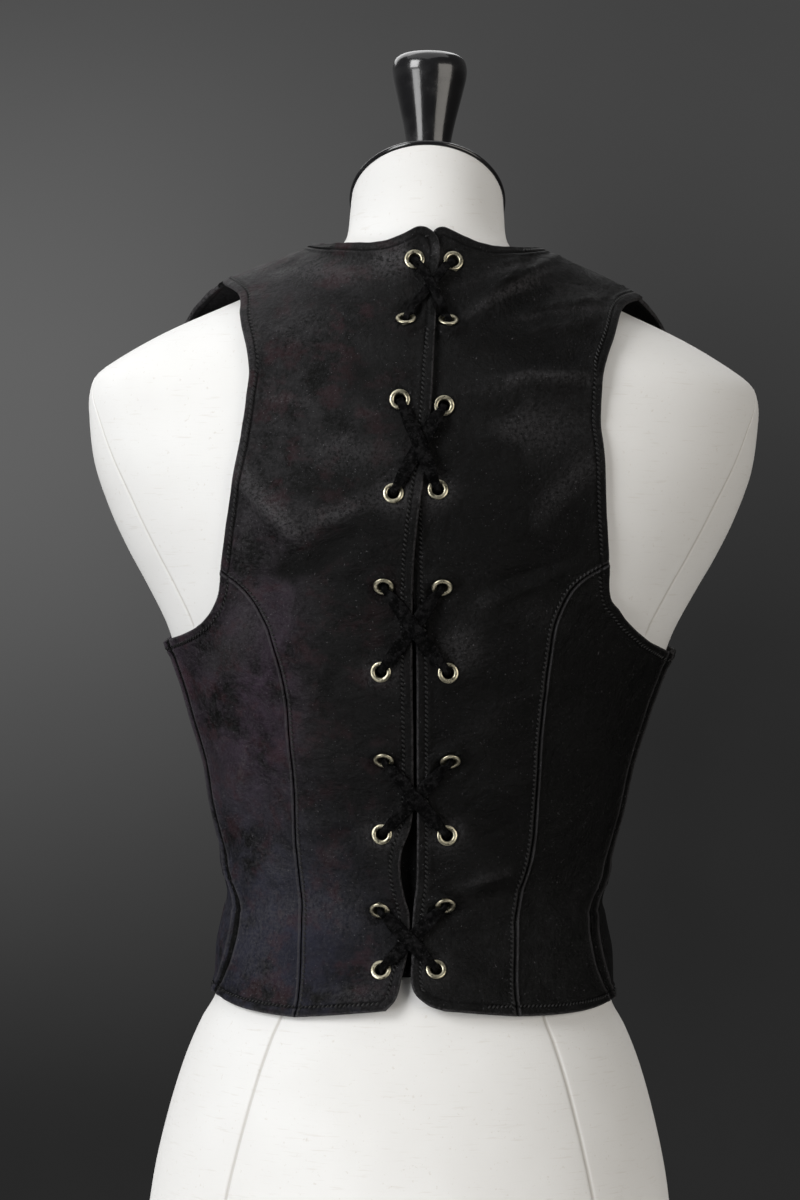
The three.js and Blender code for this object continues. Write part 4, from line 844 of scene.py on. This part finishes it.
def cut(side, inner, outer, rise, free, seams, top=None, dip=0.0, stitched=True, punched=()):
    """One cut piece, or half of one, between two lines. free and seams pick parts of its four borders."""
    widths = row_lengths(inner, outer, side)
    near = len(NEAR)
    count = len(spread(widths.max(), True, True))
    u = np.empty((len(inner), count))
    u[:, :near] = np.array(NEAR) / widths[:, None]
    u[:, -near:] = 1 - np.array(NEAR)[::-1] / widths[:, None]
    middle = np.linspace(0, 1, count - 2 * near + 2)[None, 1:-1]
    u[:, near:-near] = u[:, near - 1 : near] + (u[:, -near : -near + 1] - u[:, near - 1 : near]) * middle
    t, h = ruled(inner, outer, u)
    v = rise[:, None]
    if top is not None:
        at = np.linspace(0, 1, len(top))
        for k, target in ((0, t), (1, h)):
            bend = np.interp(u, at, top[:, k]) - top[0, k] - (top[-1, k] - top[0, k]) * u
            target += v * v * bend
    h -= dip * np.sin(np.pi * u) * (1 - v) ** 8
    kept = np.ones((len(inner) - 1, count - 1), bool)
    punch(t, h, kept, punched, side)

    # Distances from the free borders and from the seams
    base = leather(t, h, 0.0, side)
    border = {"inner": base[:, 0], "outer": base[:, -1], "hem": base[0], "top": base[-1]}
    d_free, d_seam = (
        far(base.reshape(-1, 3), [p for name, part in group for p in border[name][part]]).reshape(t.shape)
        for group in (free, seams)
    )
    pressed = (turn(t) > PRESSED_FROM) & (turn(t) < PRESSED_TO) & (not stitched)

    # Creases, puckers beside the borders, ridges beside the seams and rounded edges
    round_t = np.radians(t % 360 if side == "front" else t) * FOLD_RADIUS
    ripple = np.sin(round_t / 2.9 + np.sin(h / 7) * 1.3) * np.sin(h / 4.1 + np.sin(round_t / 11) * 1.7)
    wave = np.sin(round_t / 13 + h / 17) * np.sin(h / 23 - round_t / 31)
    pucker = PUCKER * ripple * (np.exp(-d_free / 6) + np.exp(-d_seam / 6)) + WAVE * wave
    high = folds(t, h, CREASES, sharp=True) + pucker
    ridge = np.where(pressed, mound(d_seam, *RIDGE_PRESSED), mound(d_seam, *RIDGE_PLAIN))
    if stitched:
        ridge = mound(d_seam, *RIDGE_STITCHED)
    thick = WALL + TURNED_EDGE * (1 - ease(*TURNED_ENDS, d_free))
    fall = thick * EDGE_FALL[0] * roll(d_free, EDGE_FALL[1])
    depth, reach = (np.where(pressed, a, b) for a, b in zip(FALL_PRESSED, FALL_PLAIN))
    room, lifted = loose(t, h, side)
    held = np.maximum(room + folds(t, h), LEAST_ROOM) + lifted + pulls(t, h)
    shell, dirs = skin(t, h, BUST_BRIDGED), outward(t, h)
    over = held + thick + ridge - mound(d_free, *STITCH_DIP) + np.maximum(high, DEEPEST) - fall
    over = over - depth * roll(d_seam, reach)
    streak = streaked(shell) * ease(26, 38, np.abs(shell[..., 0])) * ease(2, 14, d_free)
    bulge = BULGE * np.maximum(streak, 0)
    over += bulge + SINK * np.minimum(streak, 0)
    out, inside = shell + dirs * over[..., None], shell + dirs * (held + fall + bulge)[..., None]

    rows, columns = t.shape
    faces = [f for f, there in zip(cells(rows, columns), kept.ravel()) if there]
    j, i = rows // 2, columns // 2
    if np.cross(out[j, i + 1] - out[j, i], out[j + 1, i] - out[j, i]) @ dirs[j, i] < 0:
        faces = [f[::-1] for f in faces]
    tracks = stitch_tracks(free, EDGE_STITCH, d_free, out, dirs, True)
    if stitched:
        tracks += stitch_tracks(seams, SEAM_STITCH, d_seam, out, dirs, False)
    marks = {"edge": d_free, "seam": d_seam, "high": high, "rub": fold_shading_and_wear_at(out), "pressed": pressed}
    return {"out": out.reshape(-1, 3), "inside": inside.reshape(-1, 3), "faces": faces, "tracks": tracks,
            "marks": {key: np.asarray(value, float).ravel() for key, value in marks.items()}}


def closed_sheet(out, inside, faces):
    """Points and faces of a sheet with both sides and every cut edge, from its two layers."""
    total = len(out)
    edges = {(f[k - 1], f[k]) for f in faces for k in range(4)}
    walls = [(b, a, a + total, b + total) for a, b in edges if (b, a) not in edges]
    return np.vstack([out, inside]), faces + [tuple(i + total for i in f[::-1]) for f in faces] + walls


def panel(name, halves, nodes, flat, area):
    """One leather piece, whose halves are joined where they meet, with its stitching."""
    out, inside = (np.vstack([half[layer] for half in halves]) for layer in ("out", "inside"))
    # The shift keeps points of the middle line from rounding to different steps on the two halves
    keys = np.round(out + 0.00037, 3) + 0.0
    first, same = np.unique(keys, axis=0, return_index=True, return_inverse=True)[1:]
    same = first[same.ravel()]
    faces, start = [], 0
    for half in halves:
        faces += [tuple(int(same[start + i]) for i in f) for f in half["faces"]]
        start += len(half["out"])
    used = np.unique(np.array(faces))
    to = {int(i): k for k, i in enumerate(used)}
    faces = [tuple(to[i] for i in f) for f in faces]
    marks = {key: np.concatenate([half["marks"][key] for half in halves])[used] for key in halves[0]["marks"]}
    # The inner side has the same distances to the edges, but no worn places and no painted light and shade of
    # the folds
    marks = {key: np.append(v, np.zeros(len(v)) if key in ("high", "rub") else v) for key, v in marks.items()}
    points, faces = closed_sheet(out[used], inside[used], faces)
    made = piece(name, points, faces, NUBUCK, marks)
    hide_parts(*nodes)
    sewing = stitches(name, [track for half in halves for track in half["tracks"]])


def stretches(lower_in, lower_out, upper_in, upper_out):
    """Rows of a centre panel in two stretches: from hem to knee, and from knee to shoulder."""
    low, high = spread(LOWER_LONG, True, False), spread(UPPER_LONG, False, True)
    inner = np.vstack([line(lower_in, low), line(upper_in, high)[1:]])
    outer = np.vstack([line(lower_out, low), line(upper_out, high)[1:]])
    share = np.concatenate([low * 0.5, 0.5 + high[1:] * 0.5])
    return inner, outer, share, len(low)


def on_side(sign, places):
    return [(sign * t, h) for t, h in places]


for side, sign, holes, borders in (
    ("left", 1, slice(0, 2), (EDGE_LEFT, NECK_LEFT, PRINCESS_LEFT, ARMHOLE_LEFT)),
    ("right", -1, slice(2, 4), (EDGE_RIGHT, NECK_RIGHT, PRINCESS_RIGHT, ARMHOLE_RIGHT)),
):
    edge_line, neck_line, princess, armhole = (behind(places, side) for places in borders)
    punched = behind([row[holes] for row in EYELET_ROWS], side)
    half = sign * SEAM_GAP / 2
    neck_end, strap_end = on_side(sign, [SHOULDER_NECK, SHOULDER_END[side]])
    inner, outer, rise, knee = stretches(
        edge_line[: EDGE_KNEE + 1], princess, [*edge_line[EDGE_KNEE:], *neck_line, neck_end],
        [princess[-1], *armhole, strap_end],
    )
    outer[:knee] = shifted(outer[:knee], -half)
    inner[-1:], outer[-1:] = shifted(inner[-1:], -half), shifted(outer[-1:], -half)
    made = cut(
        side, inner, outer, rise,
        [("inner", slice(None)), ("hem", slice(None)), ("outer", slice(knee, None))],
        [("outer", slice(0, knee)), ("top", slice(None))], punched=punched,
    )
    panel(f"centre_back_{side}", [made], [f"back_centre_{side}"], *PANEL_CUTS["centre_back"])
    low = spread(LOWER_LONG, True, True)
    princess_rows = line(princess, low)
    side_rows = line(on_side(sign, SIDE_SEAM + [SIDE_TOP[side]]), low)
    front_rows = line(on_side(sign, PRINCESS_FRONT), low)
    for name, inside, armpit, away, cad in (
        ("side_back", princess_rows, ARMPIT_BACK[side], half, "back_side"),
        ("side_front", front_rows, ARMPIT_FRONT, -half, "front_side"),
    ):
        along = line([inside[-1], *on_side(sign, armpit), side_rows[-1]], np.linspace(0, 1, 60))
        made = cut(
            side, shifted(inside, away), shifted(side_rows, -away), low,
            [("hem", slice(None)), ("top", slice(None))], [("inner", slice(None)), ("outer", slice(None))],
            top=along, dip=SIDE_HEM_DIP, stitched=False,
        )
        panel(f"{name}_{side}", [made], [f"{cad}_{side}"], *PANEL_CUTS[name])

end_h = (SHOULDER_END["left"][1] + SHOULDER_END["right"][1]) / 2
inner, outer, rise, knee = stretches(
    [(180, FRONT_HEM), (180, FRONT_KNEE)], PRINCESS_FRONT,
    [(180, FRONT_KNEE), (180, 488), (180, FRONT_NECK), *NECK_FRONT, SHOULDER_NECK],
    [PRINCESS_FRONT[-1], *ARMHOLE_FRONT, (90, end_h)],
)
outer[:knee] = shifted(outer[:knee], SEAM_GAP / 2)
inner[-1:], outer[-1:] = shifted(inner[-1:], SEAM_GAP / 2), shifted(outer[-1:], SEAM_GAP / 2)
# The halves are joined up to where the neckline leaves the middle
fork = int(np.argmax(inner[:, 0] < 179.5))
inner[:fork, 0] = 180
halves = [
    cut("front", inner * (sign, 1), outer * (sign, 1), rise,
        [("hem", slice(None)), ("outer", slice(knee, None)), ("inner", slice(fork, None))],
        [("outer", slice(0, knee)), ("top", slice(None))])
    for sign in (1, -1)
]
panel("centre_front", halves, ["front_centre"], *PANEL_CUTS["centre_front"])

# The lining strip behind the lacing: one long dark piece that lies on the form and closes the gap.
UNDERLAP_HALF, UNDERLAP_WALL, UNDERLAP_CLEAR, UNDERLAP_BOTTOM, UNDERLAP_TOP = 30, 1.2, 0.9, 238, 664
UNDERLAP_ROWS, UNDERLAP_COLUMNS = 90, 22
UNDERLAP_MARKS = {"edge": 20, "seam": 20, "high": 0, "rub": 0, "pressed": 0}
heights = np.linspace(UNDERLAP_BOTTOM, UNDERLAP_TOP, UNDERLAP_ROWS)
left_line, right_line = (behind([(x, z) for z in heights], "right") for x in (UNDERLAP_HALF, -UNDERLAP_HALF))
t, h = ruled(right_line, left_line, np.linspace(0, 1, UNDERLAP_COLUMNS)[None, :])
layers = [skin(t, h) + outward(t, h) * rise for rise in (UNDERLAP_CLEAR + UNDERLAP_WALL, UNDERLAP_CLEAR)]
faces = [face[::-1] for face in cells(UNDERLAP_ROWS, UNDERLAP_COLUMNS)]
points, faces = closed_sheet(*(layer.reshape(-1, 3) for layer in layers), faces)
marks = {key: np.full(len(points), value) for key, value in UNDERLAP_MARKS.items()}
strip = piece("lacing_strip", points, faces, NUBUCK, marks)
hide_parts("underlap")

# The eyelets: twenty tubular rings of pale brass, set through punched holes and rolled over a
# washer behind. They are worn to bare metal on the crown and dull in the corners.
BORE, BARREL, FLANGE, WASHER, SEAT, CREST, LIP = 3.45, 3.75, 6.0, 5.8, 0.55, 1.4, 0.9
RING_SIDES = 40
brass = Finish("brass", Metallic=1.0)
at = brass.place()
patina = brass.noise(at, 700, 4, 0.6)
stain = brass.step(brass.noise(at, 260, 3, 0.6), 0.42, 0.68)
BRASS = brass.feed(
    Base_Color=brass.mix(stain, (0.60, 0.56, 0.42), (0.30, 0.28, 0.20)),
    Roughness=brass.step(patina, 0.3, 0.7, 0.24, 0.46),
    Normal=brass.bump(patina, 0.15, 0.0003),
)


def eyelet_place(x, z, side):
    """Where an eyelet sits: its place on the back, its centre on the leather and two directions."""
    (t, h), = behind([(x, z)], side)
    centre = leather(t, h, WALL, side)
    across = leather(t + 1, h, WALL, side) - leather(t - 1, h, WALL, side)
    up = unit(leather(t, h + 1.5, WALL, side) - leather(t, h - 1.5, WALL, side))
    return {"x": x, "z": z, "side": side, "at": centre, "out": unit(np.cross(up, across)), "up": up}


eyelets = [
    {"left": eyelet_place(*row[:2], "left"), "right": eyelet_place(*row[2:4], "right")}
    for row in EYELET_ROWS
]
inside = -WALL - SEAT
roll_angle = np.linspace(0, np.pi, 12)
middle, reach = (BORE + FLANGE) / 2, (FLANGE - BORE) / 2
crown = [(middle - reach * np.cos(a), SEAT + (CREST - SEAT) * np.sin(a) ** 0.7) for a in roll_angle]
ring_profile = [
    (BORE, inside - LIP), (BORE + 0.3, inside - 1.2), (WASHER - 0.3, inside - 0.35),
    (WASHER, inside - 0.1), (WASHER - 0.2, inside), (BARREL, inside), (BARREL, SEAT - 0.05),
    (FLANGE - 0.1, SEAT - 0.05), *crown[::-1],
]
for k, row in enumerate(eyelets):
    for side in ("left", "right"):
        place = row[side]
        points, faces = turned(ring_profile, RING_SIDES)
        last = (len(ring_profile) - 1) * RING_SIDES
        faces += [(last + i, last + (i + 1) % RING_SIDES, (i + 1) % RING_SIDES, i) for i in range(RING_SIDES)]
        z = place["out"]
        x = unit(np.cross(place["up"], z))
        frame_axes = np.stack([x, np.cross(z, x), z])
        made = piece(f"ring_{side}_{k + 1}", points @ frame_axes + place["at"], faces, BRASS)
        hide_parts(f"eyelet_{side}_{k + 1}")

# The lace: one flat strip of black suede, cut from hide. It crosses outside between rows one and two,
# three and four and so on, runs straight behind the others, and both ends are tucked in at the neck.
LACE_WIDTH, LACE_THICK, BUNCHED, BUNCHED_THICK, LACE_CLEAR, TUCKED = 8.4, 1.2, 4, 1.8, 0.6, 24
LACE_SIDES, SQUARED = 16, 0.55
suede = Finish("suede", Specular_IOR_Level=0.03)
at = suede.place()
nap = suede.noise(at, 1500, 4, 0.7)
worn_nap = suede.step(suede.noise(at, 260, 5, 0.72), 0.42, 0.7)
fluff = suede.step(suede.noise(at, 900, 3, 0.6), 0.6, 0.68)
SUEDE = suede.feed(
    Base_Color=suede.mix(
        fluff * 0.5, suede.mix(worn_nap * 0.8, (0.0018, 0.0018, 0.0019), (0.014, 0.0138, 0.0144)),
        (0.036, 0.035, 0.036),
    ),
    Roughness=suede.step(nap, 0.3, 0.7, 0.85, 0.97),
    Normal=suede.bump(nap, 0.9, 0.0007),
)


def over_right(x, z):
    """How far the lace climbs at x and z, where the edge of the left panel lies under it."""
    edge = np.array(EDGE_LEFT[:21], float)
    i = max(int(np.argmax(edge[:, 1] > z)) - 1, 0)
    f = np.clip((z - edge[i, 1]) / (edge[i + 1, 1] - edge[i, 1]), 0, 1)
    x0 = edge[i, 0] + (edge[i + 1, 0] - edge[i, 0]) * f
    (t, h), = behind([(x, z)], "right")
    return overlap(t, h) * ease(x0 - 12, x0 - 5, x)


def lace_ring(at, width, thick, out=None, wide=None):
    return {"at": at, "width": width, "thick": thick, "out": out, "wide": wide}


def between(start, end, s):
    """x and z at a share s of the way from one eyelet to another."""
    return [start[key] + (end[key] - start[key]) * s for key in ("x", "z")]


def crossing(start, end, level):
    """The lace over the leather from one eyelet to another; where level is 1, it lies on the other half."""
    rings = []
    for k in range(1, 7):
        s = k / 7
        off = min(s, 1 - s)
        x, z = between(start, end, s)
        (t, h), = behind([(x, z)], "right")
        over = np.exp(-(((s - 0.5) / 0.17) ** 2))
        from_eyelet = off * np.hypot(start["x"] - end["x"], start["z"] - end["z"])
        near_eyelet = 1 - ease(FLANGE + 1.5, 2.3 * FLANGE, from_eyelet)
        rise = WALL + over_right(x, z) + LACE_THICK / 2 + LACE_CLEAR + TURNED_EDGE * ease(0.15, 0.35, off)
        rise = rise + max(near_eyelet * CREST, over * level * (LACE_THICK + 0.5))
        # The topmost one is pulled narrower than the others
        full = LACE_WIDTH * (0.66 if start["z"] > 640 else 1)
        width = BUNCHED + (full - BUNCHED) * ease(0, 0.25, off)
        rings.append(lace_ring(leather(t, h, rise, "right", pulled=False), width, LACE_THICK, outward(t, h)))
    return rings


def through(place, outside, inner_way):
    """The lace through an eyelet, bunched up, between its ways outside and behind the leather."""
    out = place["out"]
    away, within = (unit(d - out * (d @ out)) for d in (outside, inner_way))
    low = -WALL - SEAT - LIP
    wide_away, wide_within = np.cross(out, away), np.cross(out, within)
    if wide_away @ wide_within < 0:
        wide_within = -wide_within
    over, under = CREST + LACE_THICK / 2 + LACE_CLEAR, low - LACE_THICK / 2 - LACE_CLEAR

    def ring(way, r, y, wide, width, thick):
        return lace_ring(place["at"] + way * r + out * y, width, thick, None, wide)

    return [
        ring(away, 4.4, over, wide_away, BUNCHED + 1.2, LACE_THICK),
        ring(away, 1.6, over, wide_away, BUNCHED + 0.4, LACE_THICK),
        ring(away, 0.1, CREST - 0.6, wide_away, BUNCHED, BUNCHED_THICK),
        ring(away, 0, (low + CREST) / 2, unit(wide_away + wide_within), BUNCHED, BUNCHED_THICK),
        ring(within, 0.1, low + 0.6, wide_within, BUNCHED, BUNCHED_THICK),
        ring(within, 1.6, under, wide_within, BUNCHED + 0.4, LACE_THICK),
        ring(within, 4.4, under, wide_within, BUNCHED + 1.2, LACE_THICK),
    ]


def behind_leather(start, end):
    """The lace behind the leather, straight from one eyelet to another."""
    rings = []
    deep = -SEAT - LIP - LACE_THICK / 2 - LACE_CLEAR
    for k in range(1, 4):
        x, z = between(start, end, k / 4)
        side = start["side"] if start["side"] == end["side"] else "right"
        (t, h), = behind([(x, z)], side)
        rings.append(lace_ring(leather(t, h, deep, side), LACE_WIDTH - 1, LACE_THICK, outward(t, h)))
    return rings


OTHER = {"left": "right", "right": "left"}


def order(side):
    """The eyelets that half a lace goes through, from the one on this side of the topmost row."""
    places = []
    for k, row in enumerate(eyelets):
        side = OTHER[side] if k % 2 == 1 else side
        places.append(row[side])
    return places


def half_lace(side):
    """Rings of half the lace, from its tucked end at the neck down to the lowest row."""
    places, twin, last = order(side), order(OTHER[side]), len(eyelets) - 1
    rings = behind_leather({**places[0], "z": places[0]["z"] - TUCKED}, places[0])[:2]
    for k, place in enumerate(places):
        outside_to = places[k + 1] if k % 2 == 0 else places[k - 1]
        inside_k = k - 1 if k % 2 == 0 else k + 1
        inside_to = places[inside_k] if 0 <= inside_k <= last else None
        if inside_to is not None:
            inner_way = inside_to["at"] - place["at"]
        else:
            inner_way = twin[last]["at"] - place["at"] if k == last else np.array([0, 0, -1.0])
        rows = through(place, outside_to["at"] - place["at"], inner_way)
        rings += rows[::-1] if k % 2 == 0 else rows
        if k % 2 == 0:
            rings += crossing(place, places[k + 1], 1 if place["side"] == "left" else 0)
        elif k < last:
            rings += behind_leather(place, places[k + 1])
    return rings


down, up = half_lace("left"), half_lace("right")[::-1]
low_out = eyelets[-1]["left"]["out"]
bar = lace_ring((down[-1]["at"] + up[0]["at"]) / 2 + low_out * 0.2, LACE_WIDTH - 2, LACE_THICK, low_out)
rings = [*down, bar, *up]
FINE = 6
centres = np.array([r["at"] for r in rings])
wides, before = [], None
for k, ring in enumerate(rings):
    along = unit(centres[min(k + 1, len(rings) - 1)] - centres[max(k - 1, 0)])
    wide = ring["wide"] if ring["wide"] is not None else np.cross(along, ring["out"])
    wide = unit(wide - along * (wide @ along))
    if before is not None and wide @ before < 0:
        wide = -wide
    before = wide
    wides.append(wide)
widths = np.array([[r["width"], r["thick"]] for r in rings])


def finer(values):
    """Smooth values between rings, the same number of steps from each to the next."""
    p = with_ends(values)
    slopes = (p[2:] - p[:-2]) / 2 * 0.8
    f = np.linspace(0, 1, FINE + 1)[:-1, None]
    rows = [bent(b, c, m1, m2, f) for b, c, m1, m2 in zip(values, values[1:], slopes, slopes[1:])]
    return np.vstack([*rows, values[-1:]])


centres, wides, widths = finer(centres), unit(finer(np.array(wides))), finer(widths)
ahead = unit(np.gradient(centres, axis=0))
wides = unit(wides - ahead * (wides * ahead).sum(axis=1, keepdims=True))
faces_out = np.cross(ahead, wides)
angle = np.linspace(0, 2 * np.pi, LACE_SIDES, endpoint=False)
rim_x, rim_y = (np.sign(part) * np.abs(part) ** SQUARED for part in (np.cos(angle), np.sin(angle)))
count = len(centres)
rng = np.random.default_rng(7)
waver = np.convolve(rng.normal(0, 1, count + 8), np.ones(9) / 9, "valid") * 0.5
points = centres[:, None] + wides[:, None] * (
    rim_x[None, :, None] * (widths[:, :1, None] / 2 + waver[:, None, None] * 0.25)
) + faces_out[:, None] * (rim_y[None, :, None] * widths[:, 1:, None] / 2)
faces = cells(count, LACE_SIDES, ring=True)
faces += [tuple(range(LACE_SIDES))[::-1], tuple((count - 1) * LACE_SIDES + i for i in range(LACE_SIDES))]
cord = piece("flat_lace", points.reshape(-1, 3), faces, SUEDE)
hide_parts("lace")

# The stage: a plain pale floor, soft light from the wearer's left and from above, and an even grey
# room that is a little lighter on that side. The camera looks level at the middle of the back.
floor_points, floor_faces = turned([(0.5, 0), (410, 0)], 96)
floor_mesh = bpy.data.meshes.new("floor")
floor_mesh.from_pydata((floor_points * MM).tolist(), [], floor_faces)
floor = bpy.data.objects.new("floor", floor_mesh)
bpy.context.scene.collection.objects.link(floor)
FLOOR = Finish("floor", Roughness=0.9, Base_Color=(0.62, 0.61, 0.60, 1))
floor_mesh.materials.append(FLOOR.material)
floor.location.z = -0.0005

world = bpy.data.worlds.new("room")
bpy.context.scene.world = world
world.use_nodes = True
room = Finish("room", owner=world)
way = room.node("ShaderNodeTexCoord", {}, {}, "Generated")
sideways, upwards = room.part(way, 0), room.part(way, 2)
above = room.step(upwards, -0.06, 0.18)
lit = room.step(sideways, -0.1, 0.16) * (1 - room.step(room.apart(upwards, 0.045), 0.0, 0.24))
drift = room.noise(way, 14, 3)
shade = 0.021 + above * 0.034 + lit * 0.085 + (drift - 0.5) * 0.006
room.feed(Color=room.mix(shade, (0, 0, 0), (1, 1, 1)))


def softbox(name, place, aim, size, power, tint=(1, 1, 1)):
    light = bpy.data.lights.new(name, "AREA")
    light.color = tint
    light.shape = "RECTANGLE"
    light.size, light.size_y = size
    light.energy = power
    made = bpy.data.objects.new(name, light)
    made.location = place
    made.rotation_euler = (Vector(aim) - Vector(place)).to_track_quat("-Z", "Y").to_euler()
    bpy.context.scene.collection.objects.link(made)


# name, place, aim, size, power and tint
softbox("key", (1.7, 1.5, 1.5), (0, 0, 0.45), (1.1, 1.2), 40)
softbox("fill", (-1.9, 1.6, 0.7), (0, 0, 0.4), (2.0, 1.8), 27.5, (1, 0.95, 0.88))
softbox("top", (0.2, 0.2, 2.3), (0, 0, 0.4), (2.4, 2.4), 12)
softbox("front", (0.6, -1.6, 2.3), (0, 0, 0.4), (2.6, 2.2), 26)
softbox("window", (1.55, 1.65, 0.2), (0, 0, 0.4), (0.95, 1.1), 18)

IMAGE_TALL, FOCAL_PIXELS, SENSOR = 1200, 2931.6, 36
CAMERA_AWAY, CAMERA_UP, CAMERA_ROLL = 1.8, 0.455, 0.0174
camera_data = bpy.data.cameras.new("camera")
camera_data.sensor_width = SENSOR
camera_data.lens = FOCAL_PIXELS * SENSOR / IMAGE_TALL
camera_data.shift_x = -0.017
camera_data.clip_end = 20
camera = bpy.data.objects.new("camera", camera_data)
camera.matrix_world = Matrix((
    (-np.cos(CAMERA_ROLL), np.sin(CAMERA_ROLL), 0, 0),
    (0, 0, 1, CAMERA_AWAY),
    (np.sin(CAMERA_ROLL), np.cos(CAMERA_ROLL), 0, CAMERA_UP),
    (0, 0, 0, 1),
))
bpy.context.scene.collection.objects.link(camera)
bpy.context.scene.camera = camera
bpy.context.scene.view_settings.view_transform = "Standard"
